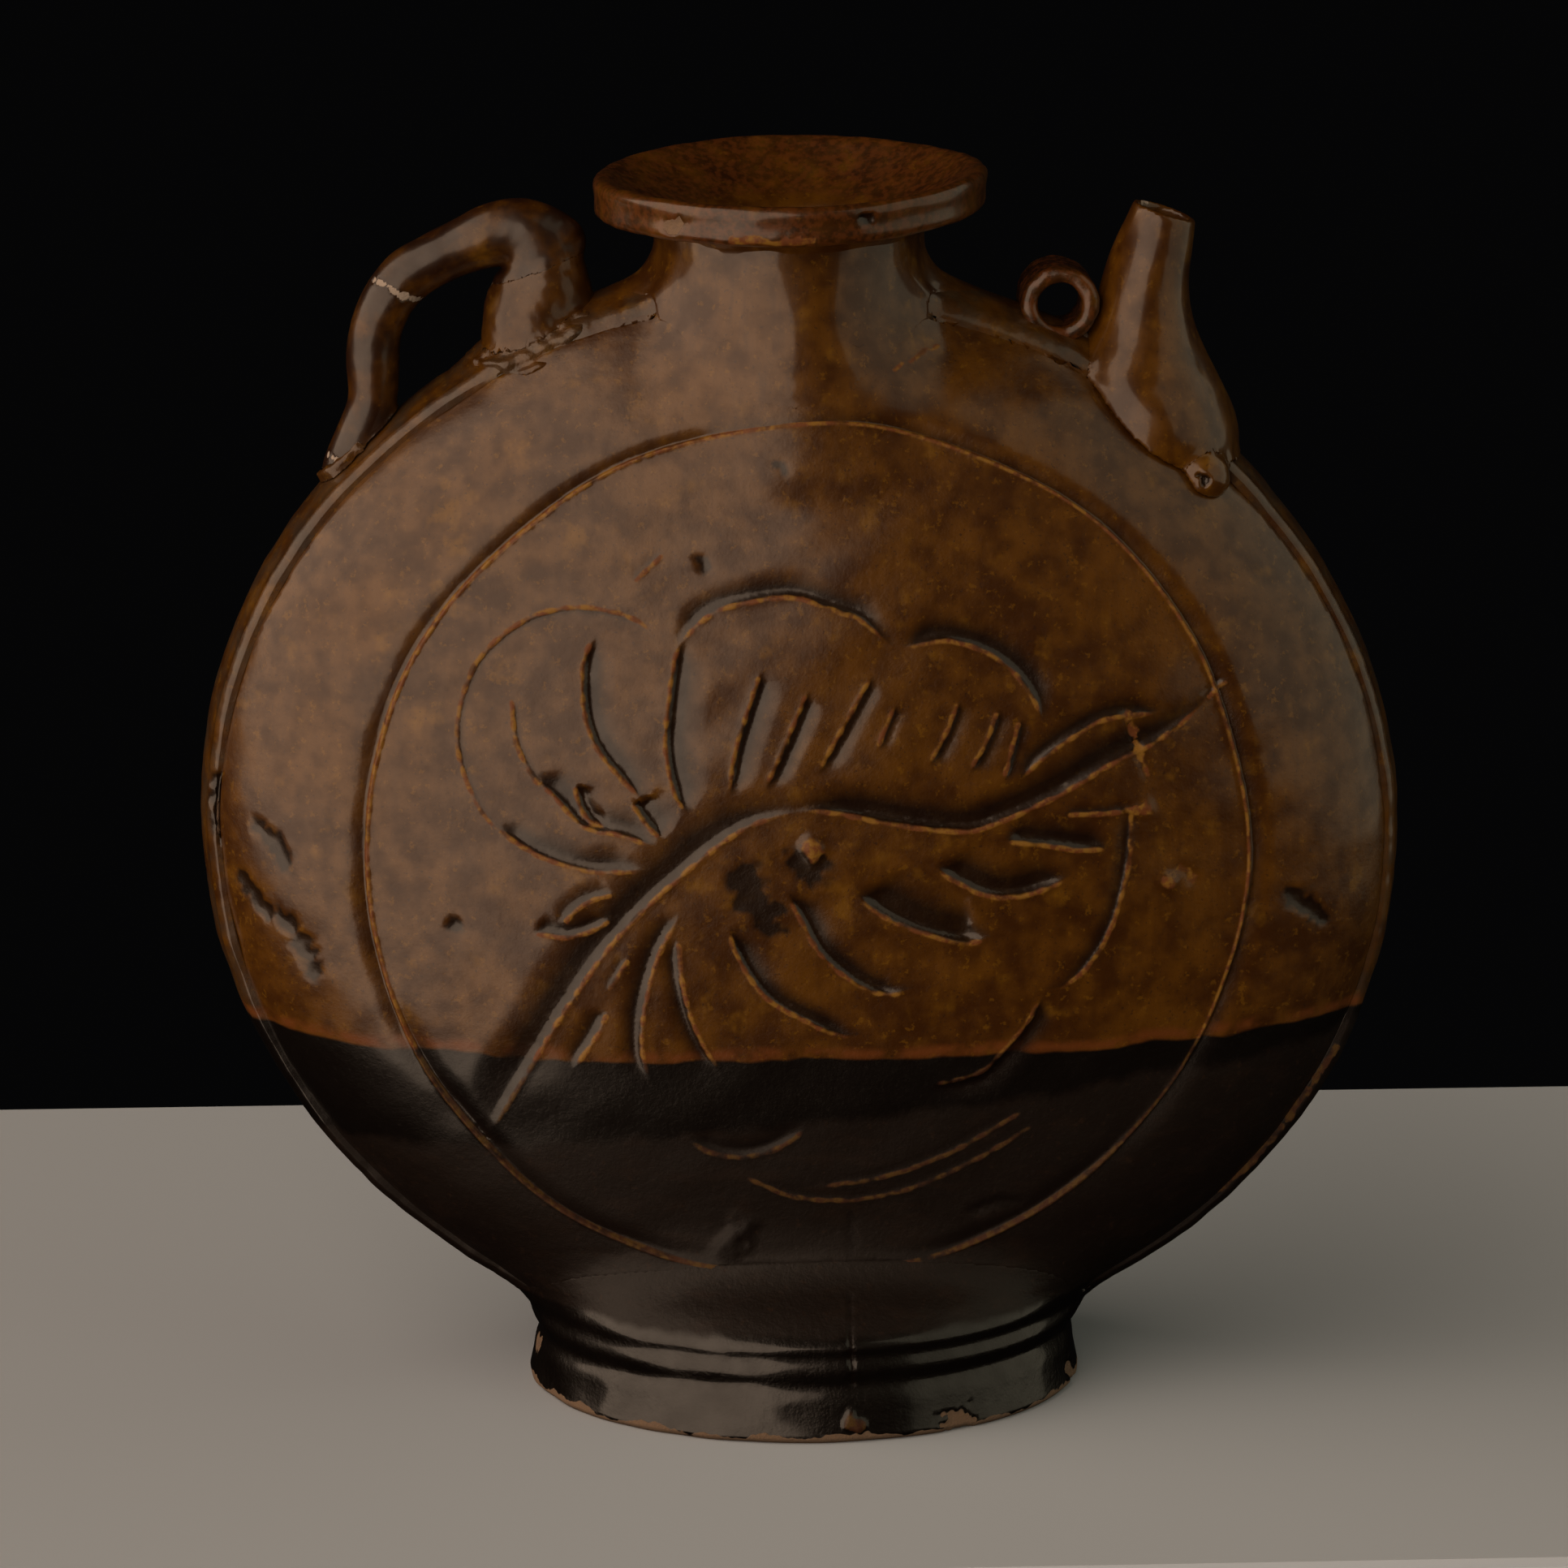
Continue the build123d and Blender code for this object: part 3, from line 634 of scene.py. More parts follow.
def worn(piece):
    """Dents the piece where its marks lie and writes their finish."""
    points, normals = points_of(piece), normals_of(piece)
    faces = [tuple(face.vertices) for face in piece.data.polygons]
    values = {finish: np.empty(len(points)) for finish in FINISHES}
    for finish in FINISHES:
        piece.data.attributes[finish].data.foreach_get("value", values[finish])
    shift, found = np.zeros(len(points)), 0
    for finish, pixels, width, depth in MARKS.get(piece.name.removesuffix("_clay"), []):
        stops = np.array(pixels, float)
        share = np.linspace(0, len(stops) - 1, max(3, int(np.ptp(stops, axis=0).max() / PIXELS_APART)))
        line = on_piece(points, faces, np.column_stack(
            [np.interp(share, np.arange(len(stops)), stops[:, axis]) for axis in (0, 1)]))
        if not len(line):
            print("  nothing under the mark at", pixels[0], "on", piece.name)
            continue
        found += 1
        rough = 1 + 0.4 * unevenness(points, 3.0, 50 + found)
        away = np.full(len(points), np.inf)
        for place in line:
            away = np.minimum(away, np.linalg.norm(points - place, axis=1))
        strength = ease(1.6 - away / (width * np.clip(rough, 0.4, 1.8)))
        shift -= depth * strength
        values[finish] = np.maximum(values[finish], strength)
    moved(piece, points + normals * shift[:, None])
    for finish in FINISHES:
        piece.data.attributes[finish].data.foreach_set("value", values[finish])
    return found


print(sum(len(marks) for marks in MARKS.values()), "marks of wear")

# %% [markdown]
# ## The two bowls
#
# A bowl is a closed shell: the worked outer sheet, a plain inner sheet six millimetres behind it, and a
# seam face where the two bowls were pressed together. The outer sheet is pushed along its own normals by
# the strokes and by slow waves from the hand that squashed the plate.

# %% Bowls
WALL = 6.0


def sheet_normals(points, faces):
    """Each point's normal, from the triangles round it."""
    a, b, c = (points[faces[:, k]] for k in range(3))
    flat = np.cross(b - a, c - a)
    total = np.zeros_like(points)
    for k in range(3):
        np.add.at(total, faces[:, k], flat)
    return total / np.linalg.norm(total, axis=1)[:, None]


def plate_mesh(places):
    """The flat triangulation of these places inside the rim, with the rim's own points first."""
    turn = np.linspace(0, 2 * pi, RIM_STEPS, endpoint=False)
    rim = (MEDALLION_RADIUS + BRIM) * np.column_stack([np.cos(turn), np.sin(turn)])
    ties = [(k, (k + 1) % RIM_STEPS) for k in range(RIM_STEPS)]
    made = delaunay_2d_cdt([Vector(place) for place in np.vstack([rim, places])], ties, [], 0, 1e-4)
    flat = np.array([tuple(place) for place in made[0]])
    first = [next(iter(sources), RIM_STEPS) for sources in made[3]]
    order = np.argsort(first, kind="stable")
    back = np.empty(len(order), int)
    back[order] = np.arange(len(order))
    return flat[order], back[np.array([list(face) for face in made[2]])]


def bowl_points(plate, facing):
    """Places in mm of these places on the plate, for the front's (1) or the back's (-1) bowl."""
    x, depth, z = bowl_place(*plate.T)
    return np.column_stack([x, -facing * depth, z])


def bowl(name, facing, places, drawn):
    """A bowl's closed shell: facing 1 is the front, -1 the back."""
    plate, faces = plate_mesh(places)
    inner_plate, inner_faces = plate_mesh(net(INNER_NET, MEDALLION_RADIUS + BRIM))
    outer, inner = bowl_points(plate, facing), bowl_points(inner_plate, facing)
    turn_over = faces[:, ::facing]
    normals = sheet_normals(outer, turn_over)
    height, lip, hollow = ring_marks(plate)
    for key in drawn:
        more, its_lip, its_hollow = stroke_marks(plate, lines[key], *STROKES[key][1:])
        height, lip, hollow = height + more, np.maximum(lip, its_lip), np.maximum(hollow, its_hollow)
    height += 0.35 * unevenness(outer, 70, 11 + facing) + 0.12 * unevenness(outer, 18, 13 + facing)
    outer = outer + normals * height[:, None]
    inner = inner - sheet_normals(inner, inner_faces[:, ::facing]) * WALL
    seams = [outer[:RIM_STEPS] * [1, 0, 1], inner[:RIM_STEPS] * [1, 0, 1]]
    start = np.cumsum([0, len(outer), len(inner), RIM_STEPS])
    walls = []
    for low, high in ((0, start[2]), (start[2], start[3]), (start[3], start[1])):
        for k in range(RIM_STEPS):
            n = (k + 1) % RIM_STEPS
            walls.append((low + k, high + k, high + n, low + n)[::facing])
    everything = [*turn_over, *(inner_faces[:, ::-facing] + start[1]), *walls]
    rest = np.zeros(len(inner) + 2 * RIM_STEPS)
    finishes = {"lip": np.concatenate([lip, rest]), "pool": np.concatenate([hollow, rest])}
    made = clay_piece(name, np.vstack([outer, inner, *seams]), everything, finishes)
    print(name, len(made.data.polygons), "faces, marks", worn(made))
    return made


passages = [neck_passage, spout_passage]
back_places = net(BACK_NET, MEDALLION_RADIUS + BRIM)
front_bowl = bored(bowl("front_bowl_clay", 1, front_places(), STROKES), passages)
back_bowl = bored(bowl("back_bowl_clay", -1, back_places, []), passages)

# %% [markdown]
# ## The strap
#
# The strap's shape follows one rule all the way round: an oval, with the same low crown and the same two
# small ridges at every place. That is work for Geometry Nodes. A grid gives one direction round the flask
# and one round the strap's section, and the rule turns each grid point into a place. The same small class
# that writes shader maths further on writes the rule here: it wraps a socket, and an expression on it adds
# the Math nodes. The tree gives the strap a plain wet clay, which the glaze takes over at the end.

# %% Sums that become nodes
class Wire:
    """A node's output. Sums with it add nodes to its tree."""

    def __init__(self, tree, socket):
        self.tree, self.socket = tree, socket

    def maths(self, operation, *values):
        return self.tree.node("ShaderNodeMath", {"operation": operation}, list(values))

    def __add__(self, other): return self.maths("ADD", self, other)
    def __radd__(self, other): return self.maths("ADD", other, self)
    def __sub__(self, other): return self.maths("SUBTRACT", self, other)
    def __rsub__(self, other): return self.maths("SUBTRACT", other, self)
    def __mul__(self, other): return self.maths("MULTIPLY", self, other)
    def lowest(self, other): return self.maths("MINIMUM", self, other)
    def highest(self, other): return self.maths("MAXIMUM", self, other)
    def clamped(self): return self.highest(0.0).lowest(1.0)
    def size(self): return self.maths("ABSOLUTE", self)
    def sine(self): return self.maths("SINE", self)
    def cosine(self): return self.maths("COSINE", self)

    def step(self, low, high):
        """A soft step from 0 at low to 1 at high."""
        return self.tree.node("ShaderNodeMapRange", {"interpolation_type": "SMOOTHSTEP"},
                              {"Value": self, "From Min": low, "From Max": high})

    def bump(self, middle, width):
        """1 at the middle, easing to 0 at this distance on both sides."""
        return 1 - ((self - middle).size()).step(0.0, width)


class Tree:
    """A node tree with one method for every node."""

    def __init__(self, tree):
        self.tree = tree

    def node(self, kind, settings=None, inputs=None, output=0):
        """A new node with these settings and inputs (by name, or in order). Gives back one of its outputs."""
        made = self.tree.nodes.new(kind)
        for name, value in (settings or {}).items():
            setattr(made, name, value)
        live = [socket for socket in made.inputs if socket.enabled]
        pairs = inputs.items() if isinstance(inputs, dict) else enumerate(inputs or [])
        for key, value in pairs:
            socket = live[key] if isinstance(key, int) else next(s for s in live if s.name == key)
            if isinstance(value, Wire):
                self.tree.links.new(value.socket, socket)
            elif socket.type == "RGBA" and len(value) == 3:
                socket.default_value = (*value, 1)
            else:
                socket.default_value = value
        outputs = [socket for socket in made.outputs if socket.enabled]
        found = outputs[output] if isinstance(output, int) else next(s for s in outputs if s.name == output)
        return Wire(self, found)


print("the sum class is ready")

# %% [markdown]
# With that the strap's rule is a few sums. Its sizes are the tree's inputs, in millimetres, and the scale
# turns the result into metres.

# %% The strap's rule
STRAP = {"Half Long": 145.7, "Half Short": 133.7, "Half Width": 13.0, "Crown": 3.4, "Thickness": 5.2,
         "Ridge": 0.9, "Squash Turn": SQUASH_TURN, "Middle": BODY_MIDDLE, "Scale": MM,
         "Clay": bpy.data.materials.new("wet_clay")}
ROUND_STEPS, SECTION_STEPS = 1100, 60
FLAT_SIDE, RIDGE_PLACE, RIDGE_WIDTH = 1.18, 0.86, 0.14
HEIGHT_WOBBLE, WIDTH_WOBBLE = 1.3, 1.6


def rule_tree(name, sizes, build):
    """A geometry tree with these named sizes as its inputs, built by this function."""
    group = bpy.data.node_groups.new(name, "GeometryNodeTree")
    group.interface.new_socket("Geometry", in_out="INPUT", socket_type="NodeSocketGeometry")
    for label, value in sizes.items():
        kind = "NodeSocketMaterial" if isinstance(value, bpy.types.Material) else "NodeSocketFloat"
        group.interface.new_socket(label, in_out="INPUT", socket_type=kind)
    group.interface.new_socket("Geometry", in_out="OUTPUT", socket_type="NodeSocketGeometry")
    tree = Tree(group)
    entry = group.nodes.new("NodeGroupInput")
    wires = {socket.name: Wire(tree, socket) for socket in entry.outputs if socket.name}
    leave = group.nodes.new("NodeGroupOutput")
    group.links.new(build(tree, wires).socket, leave.inputs[0])
    return group


def grown(piece, group, sizes):
    """What the tree makes of the piece with these sizes."""
    modifier = piece.modifiers.new(group.name, "NODES")
    modifier.node_group = group
    for item in group.interface.items_tree:
        if item.in_out == "INPUT" and item.name in sizes:
            modifier[item.identifier] = sizes[item.name]
    return baked(piece)


def strap_rule(tree, sizes):
    """The strap as a grid whose X is the way round the flask and whose Y is the way round the section."""
    grid = tree.tree.nodes.new("GeometryNodeMeshGrid")
    grid.inputs["Size X"].default_value = grid.inputs["Size Y"].default_value = 2 * pi
    grid.inputs["Vertices X"].default_value = ROUND_STEPS + 1
    grid.inputs["Vertices Y"].default_value = SECTION_STEPS + 1
    place = tree.node("GeometryNodeInputPosition")
    round_turn = tree.node("ShaderNodeSeparateXYZ", {}, [place], "X")
    section_turn = tree.node("ShaderNodeSeparateXYZ", {}, [place], "Y")
    across = (section_turn.cosine() * FLAT_SIDE).lowest(1.0).highest(-1.0)
    wobble = tree.node("ShaderNodeTexNoise", {"noise_dimensions": "2D"}, {
        "Vector": tree.node("ShaderNodeCombineXYZ", {}, [round_turn.cosine() * 2, round_turn.sine() * 2, 0.0]),
        "Scale": 3.0, "Detail": 3.0}) - 0.5
    ridge = sizes["Ridge"] * (across.size()).bump(RIDGE_PLACE, RIDGE_WIDTH)
    top = ridge - sizes["Crown"] * across * across + wobble * HEIGHT_WOBBLE
    lift = (section_turn.sine()).step(-0.22, 0.22)
    height = top * lift - sizes["Thickness"] * (1 - lift)
    u = (sizes["Half Long"] + height) * round_turn.cosine()
    v = (sizes["Half Short"] + height) * round_turn.sine()
    dip, rise = sizes["Squash Turn"].sine(), sizes["Squash Turn"].cosine()
    x, z = u * rise + v * dip, sizes["Middle"] - u * dip + v * rise
    y = across * (sizes["Half Width"] + wobble * WIDTH_WOBBLE)
    bent = tree.node("GeometryNodeSetPosition", {}, {
        "Geometry": Wire(tree, grid.outputs["Mesh"]),
        "Position": tree.node("ShaderNodeCombineXYZ", {}, [value * sizes["Scale"] for value in (x, y, z)])})
    closed = tree.node("GeometryNodeMergeByDistance", {}, {"Geometry": bent, "Distance": 0.00001})
    real = tree.node("GeometryNodeRealizeInstances", {}, [closed])
    return tree.node("GeometryNodeSetMaterial", {}, {"Geometry": real, "Material": sizes["Clay"]})


def outward(piece):
    """The piece with its faces turned outwards."""
    shape = bmesh.new()
    shape.from_mesh(piece.data)
    bmesh.ops.remove_doubles(shape, verts=shape.verts, dist=1e-6)
    bmesh.ops.recalc_face_normals(shape, faces=shape.faces)
    shape.to_mesh(piece.data)
    shape.free()
    piece.data.shade_smooth()
    return piece


def with_finishes(piece):
    """The piece, with a number for every finish that it lacks."""
    for finish in FINISHES:
        if finish not in piece.data.attributes:
            piece.data.attributes.new(finish, "FLOAT", "POINT")
    return piece


strap_tree = rule_tree("strap rule", STRAP, strap_rule)
edge_strap = grown(clay_piece("edge_strap_clay", [], []), strap_tree, STRAP)
edge_strap = with_finishes(outward(edge_strap))
whole_strap = placed("body_plug_strap", edge_strap.data.copy())
bored(edge_strap, passages)
print("edge_strap", len(edge_strap.data.polygons), "faces, marks", worn(edge_strap))

# %% [markdown]
# ## Dish, foot and neck
#
# Mouth, foot and neck came off the wheel, so each is a profile carried round an axis. The mouth is round,
# and it dips a little to the left. The foot is oval, wider than it is deep, with three grooves round it,
# and it leans a little too. The neck starts round under the mouth and is drawn out along the strap into two
# saddles.

# %% Thrown pieces
def turned(rows, steps):
    """Faces for closed rows of points, each joined to the next and the last to the first."""
    faces = []
    for r in range(len(rows)):
        n = (r + 1) % len(rows)
        faces += [(r * steps + k, r * steps + (k + 1) % steps, n * steps + (k + 1) % steps, n * steps + k)
                  for k in range(steps)]
    return np.vstack(rows), faces


def along_profile(corners, step):
    """Even stops along a closed profile of (radius, height) corners, rounded a little."""
    loop = np.array(corners + corners[:1], float)
    length = np.concatenate([[0], np.cumsum(np.linalg.norm(np.diff(loop, axis=0), axis=1))])
    even = np.linspace(0, length[-1], int(length[-1] / step), endpoint=False)
    stops = np.column_stack([np.interp(even, length, loop[:, axis]) for axis in (0, 1)])
    for _ in range(2):
        stops = (np.roll(stops, 1, 0) + 2 * stops + np.roll(stops, -1, 0)) / 4
    return stops


DISH_PROFILE = [(31.3, 282.0), (31.5, 286.2), (33.4, 288.6), (38.0, 289.7), (45.2, 290.3), (46.5, 291.5),
                (46.4, 295.0), (47.0, 298.3), (46.2, 299.7), (44.6, 300.1), (42.6, 299.3), (40.6, 297.9),
                (36.5, 295.2), (32.0, 292.4), (27.5, 290.0), (23.6, 287.8), (21.6, 286.2), (21.0, 284.0),
                (21.0, 282.0), (26.0, 281.4)]
MOUTH_TILT, DISH_STEPS, PROFILE_STEP = radians(1.4), 420, 0.8


def mouth_dish():
    """The mouth with its throat. It is out of round and tilted at its edge only, so that it fits the neck."""
    turn = np.linspace(0, 2 * pi, DISH_STEPS, endpoint=False)
    rows = []
    for radius, height in along_profile(DISH_PROFILE, PROFILE_STEP):
        out = ease((radius - 28) / 18)
        reach = radius * (1 + out * (0.006 * np.cos(2 * turn + 0.6) + 0.004 * np.cos(3 * turn)))
        level = height + out * (reach * np.cos(turn) * sin(MOUTH_TILT) + 0.35 * np.cos(3 * turn + 1))
        rows.append(np.column_stack([NECK_SHIFT + reach * np.cos(turn), reach * np.sin(turn), level]))
    points, faces = turned(rows, DISH_STEPS)
    points += 0.10 * unevenness(points, 9, 31)[:, None] * [0.6, 0.6, 1]
    made = with_finishes(outward(clay_piece("mouth_dish_clay", points, faces)))
    print("mouth_dish", len(faces), "faces, marks", worn(made))
    return made


FOOT_STEPS, FOOT_ROWS, FOOT_REACH, FOOT_THICKNESS, EDGE_ROUNDING = 620, 75, 41, 8.5, 1.6
FOOT_GROOVES = [(13.6, 2.6, 1.1), (20.4, 2.4, 0.8), (26.5, 2.6, 0.45)]


def foot_ring():
    """The foot before it is fitted: outer wall with its grooves, up into the body and down the inside."""
    turn = np.linspace(0, 2 * pi, FOOT_STEPS, endpoint=False)
    heights = np.linspace(0, FOOT_REACH, FOOT_ROWS)
    walls = [(height, 0.0) for height in heights] + [(height, FOOT_THICKNESS) for height in heights[::-2]]
    rows = []
    for height, inside in walls:
        side, front = foot_oval(np.array(height)) - np.array(inside)
        rounding = EDGE_ROUNDING * (1 - ease(height / EDGE_ROUNDING)) ** 1.5
        grooves = sum(deep * np.exp(-(((height - middle) / half) ** 2)) for middle, half, deep in FOOT_GROOVES)
        out = 0.6 * rounding if inside else -rounding - grooves * (1 + 0.25 * np.sin(2 * turn + height / 7))
        x = FOOT_SHIFT + (side + out) * np.cos(turn)
        y = (front + out) * np.sin(turn)
        lean = 0.5 * np.cos(turn + 0.5) * ease(height / 10)
        rows.append(np.column_stack([x, y, height + lean]))
    points, faces = turned(rows, FOOT_STEPS)
    points += 0.16 * unevenness(points, 16, 33)[:, None] * [1, 1, 0.3]
    return outward(clay_piece("foot_ring_clay", points, faces))


PLUG_NET = 7.0


def plug(inset=1.5):
    """The body as one plain solid, a little inside its surface, for fitting what stands on it."""
    plate, faces = plate_mesh(net(PLUG_NET, MEDALLION_RADIUS + BRIM))
    sheets = []
    for facing in (1, -1):
        sheet = bowl_points(plate, facing)
        sheets.append(sheet - sheet_normals(sheet, faces[:, ::facing]) * inset)
    far = len(plate)
    band = [(k, k + far, (k + 1) % RIM_STEPS + far, (k + 1) % RIM_STEPS) for k in range(RIM_STEPS)]
    return outward(clay_piece("body_plug", np.vstack(sheets), [*faces, *(faces[:, ::-1] + far), *band]))


# How far down the neck, and how far its saddles reach out there, both as shares.
SADDLES = [(0.04, -0.06), (0.26, 0.05), (0.42, 0.15), (0.62, 0.36), (0.78, 0.62), (0.90, 0.88), (1.05, 1.25),
           (1.4, 2.1)]
NECK_STEPS, NECK_ROWS, NECK_FALL, UNDER_DISH = 420, 74, 18.0, 5.6
SADDLE_REACH, SADDLE_WIDTH, SADDLE_SOFT = 19.0, 13.5, 5.0


def neck_collar():
    """The neck before it is fitted: a round collar that spreads along the strap into two saddles."""
    turn = np.linspace(0, 2 * pi, NECK_STEPS, endpoint=False)
    heights = np.linspace(NECK_TOP + UNDER_DISH, NECK_LOW, NECK_ROWS)
    rows = []
    for height in heights:
        drop = max(0.0, (NECK_TOP - height) / NECK_FALL)
        collar = NECK_RADIUS + 0.5 + 0.6 * drop
        long = NECK_RADIUS + np.interp(drop, *zip(*SADDLES)) * SADDLE_REACH
        saddle = 1 / np.sqrt((np.cos(turn) / long) ** 2 + (np.sin(turn) / SADDLE_WIDTH) ** 2)
        near = np.maximum(SADDLE_SOFT - np.abs(collar - saddle), 0)
        rows.append((height, np.maximum(collar, saddle) + near**2 / (4 * SADDLE_SOFT)))
    rows += [(height, np.full(NECK_STEPS, NECK_BORE)) for height in heights[::-2]]
    rows = [np.column_stack([NECK_SHIFT + radius * np.cos(turn), radius * np.sin(turn),
                             np.full(NECK_STEPS, height)]) for height, radius in rows]
    points, faces = turned(rows, NECK_STEPS)
    points[:, :2] += 0.20 * unevenness(points, 22, 41)[:, None]
    return outward(clay_piece("neck_collar_clay", points, faces))


body_plug = plug()
dish = mouth_dish()
foot, neck = foot_ring(), neck_collar()
print("dish, foot and neck have", [len(piece.data.polygons) for piece in (dish, foot, neck)], "faces")

# %% [markdown]
# ## Pieces built by hand
#
# Spout, handle, lug and the dabs of clay between them were pulled and pressed by hand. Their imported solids
# already stand where the photograph shows them, but they are too even. So a copy of each is merged,
# remeshed with small voxels, which gives it an even skin and softens its corners, and then pushed in and
# out a little.

# %% Hand-built pieces
LONG_WAVE, FINE_WAVE = 16, 3.5


def reworked(node, voxel, rounds, long_wave, fine_wave, seed):
    """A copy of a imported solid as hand-worked clay."""
    mesh = nodes[node].data.copy()
    mesh.transform(nodes[node].matrix_world)
    mesh.materials.clear()
    shape = bmesh.new()
    shape.from_mesh(mesh)
    bmesh.ops.remove_doubles(shape, verts=shape.verts, dist=2e-6)
    shape.to_mesh(mesh)
    shape.free()
    piece = placed(node + "_clay", mesh)
    skin = piece.modifiers.new("skin", "REMESH")
    skin.mode, skin.voxel_size = "VOXEL", voxel * MM
    soft = piece.modifiers.new("soft", "SMOOTH")
    soft.factor, soft.iterations = 0.5, rounds
    piece = with_finishes(baked(piece))
    points, normals = points_of(piece), normals_of(piece)
    push = long_wave * unevenness(points, LONG_WAVE, seed) + fine_wave * unevenness(points, FINE_WAVE, seed + 1)
    moved(piece, points + normals * push[:, None])
    print(node, len(piece.data.polygons), "faces, marks", worn(piece))
    return piece


HAND_WORK = {  # node: voxel in mm, rounds of smoothing, long and fine waves in mm, seed
    "spout": (0.6, 10, 0.16, 0.02, 43), "handle_coil": (0.6, 12, 0.26, 0.02, 45),
    "fan_root": (0.7, 10, 0.30, 0.05, 47), "tube_lug": (0.5, 3, 0.18, 0.10, 49),
    "lug_wad": (0.45, 4, 0.30, 0.25, 51), "spout_heel": (0.5, 6, 0.25, 0.08, 53),
    "fan_luting": (0.45, 4, 0.30, 0.35, 55), "heel_pad": (0.45, 5, 0.25, 0.20, 57),
}
hand_built = {node: reworked(node, *work) for node, work in HAND_WORK.items()}

# %% [markdown]
# ## Joints that flow
#
# A potter runs a wet finger round a joint, and the glaze fills what is left, so neck and foot grow out of
# the body without a corner. Distance does that here. The distances from a place to two pieces blend into
# one soft distance, and the places where it is 0 form a skin that flows round both. A point near the joint
# steps on to that skin, and what lies inside the other piece sinks a little behind it. Both pieces move on
# to the same skin, so they meet. It is the soft minimum that sculpting tools use for clay blobs, done point
# by point so that the pieces stay separate.

# %% Melting two pieces together
DEEPEST, MOST_RELIEF, SINK, FADE, VALLEY = 3, 2.5, 0.5, 1.2, 4.0
STEPS_TO_SKIN, CLOSE_ENOUGH = 5, 0.01


def form_of(piece, thickness=4.0):
    """A piece's surface as it is now, for measuring distances to it, and how deep a place can lie in it."""
    return BVHTree.FromPolygons([Vector(place) for place in points_of(piece)],
                                [tuple(face.vertices) for face in piece.data.polygons]), thickness


def gap_to(form, place):
    """The distance from a place to a form, less than 0 inside it, and the way in which it grows."""
    tree, thickness = form
    hit, face_normal, _, away = tree.find_nearest(place)
    off = place - hit
    side = 1
    if away < thickness:
        around = sum((found[1] for found in tree.find_nearest_range(place, away + 0.02)), Vector((0, 0, 0)))
        side = 1 if off.dot(around) >= 0 else -1
    return side * away, (off * (side / away) if away > 0.05 else face_normal)


def blended(one, two, reach):
    """Two distances with their ways, as one: the smaller, rounded where they differ by less than the reach."""
    share = min(1, max(0, 0.5 + 0.5 * (two[0] - one[0]) / reach))
    both = two[0] + (one[0] - two[0]) * share - reach * share * (1 - share)
    return both, one[1] * share + two[1] * (1 - share)


def mates_gap(mates, place):
    """The distance to one mate, or to the two mates with the valley between them filled a little."""
    found = [gap_to(mate, place) for mate in mates]
    return found[0] if len(found) == 1 else blended(*found, VALLEY)


def melted(piece, own, mates, low, high, reach, bore=0.0):
    """Moves the piece's points near its mates, inside a box, on to the skin that flows round both."""
    points = points_of(piece)
    shifted = points.copy()
    near = ((points > np.array(low) - reach) & (points < np.array(high) + reach)).all(1)
    near &= np.hypot(points[:, 0] - NECK_SHIFT, points[:, 1]) > bore
    for k in np.flatnonzero(near):
        start = Vector(points[k])
        first = mates_gap(mates, start)[0]
        relief, _ = gap_to(own, start)
        if not -DEEPEST < first < reach or abs(relief) > MOST_RELIEF:
            continue
        level = relief * ease(first / (0.6 * reach)) - SINK * ease((-first - 0.2) / FADE)
        place = start.copy()
        for _ in range(STEPS_TO_SKIN):
            off, way = blended(gap_to(own, place), mates_gap(mates, place), reach)
            off -= level
            place -= way * (off / max(way.length_squared, 0.3))
            if abs(off) < CLOSE_ENOUGH:
                break
        shifted[k] += (np.array(place) - points[k]) * (1 - ease((-first - 1.6) / FADE))
    moved(piece, shifted)


EVERYWHERE = (-200, -200, 0), (200, 200, 320)
NECK_BOX, FOOT_BOX = ((-70, -45, 236), (64, 45, 282)), ((-84, -60, 0), (84, 60, 42))
NECK_FLOW, FOOT_FLOW = 14.0, 11.0
DAB_FLOWS = ("fan_luting", "fan_root", 2.5), ("handle_coil", "fan_root", 3.0), ("spout_heel", "spout", 2.5)
STRAP_FLOWS = {"handle_coil": 2.5, "heel_pad": 1.2, "fan_luting": 1.2, "tube_lug": 1.5, "spout": 3.0}

neck_form, foot_form = form_of(neck), form_of(foot)
body_form, strap_form = form_of(plug(0.0), 99.0), form_of(whole_strap, 6.0)
neck, foot = (with_finishes(bored(piece, [body_plug])) for piece in (neck, foot))
for piece, own in ((front_bowl, body_form), (back_bowl, body_form), (edge_strap, strap_form)):
    melted(piece, own, [neck_form], *NECK_BOX, NECK_FLOW)
    melted(piece, own, [foot_form], *FOOT_BOX, FOOT_FLOW)
melted(neck, neck_form, [body_form, strap_form], *EVERYWHERE, NECK_FLOW, bore=NECK_BORE + 1)
melted(foot, foot_form, [body_form, strap_form], *EVERYWHERE, FOOT_FLOW)
for joined, mate, reach in DAB_FLOWS:
    one, other = form_of(hand_built[joined]), form_of(hand_built[mate])
    melted(hand_built[joined], one, [other], *EVERYWHERE, reach)
    melted(hand_built[mate], other, [one], *EVERYWHERE, reach)
for joined, reach in STRAP_FLOWS.items():
    melted(hand_built[joined], form_of(hand_built[joined]), [strap_form], *EVERYWHERE, reach)
hand_built["neck_collar"] = neck
print("foot_ring marks", worn(foot), "neck", len(neck.data.polygons), "faces")
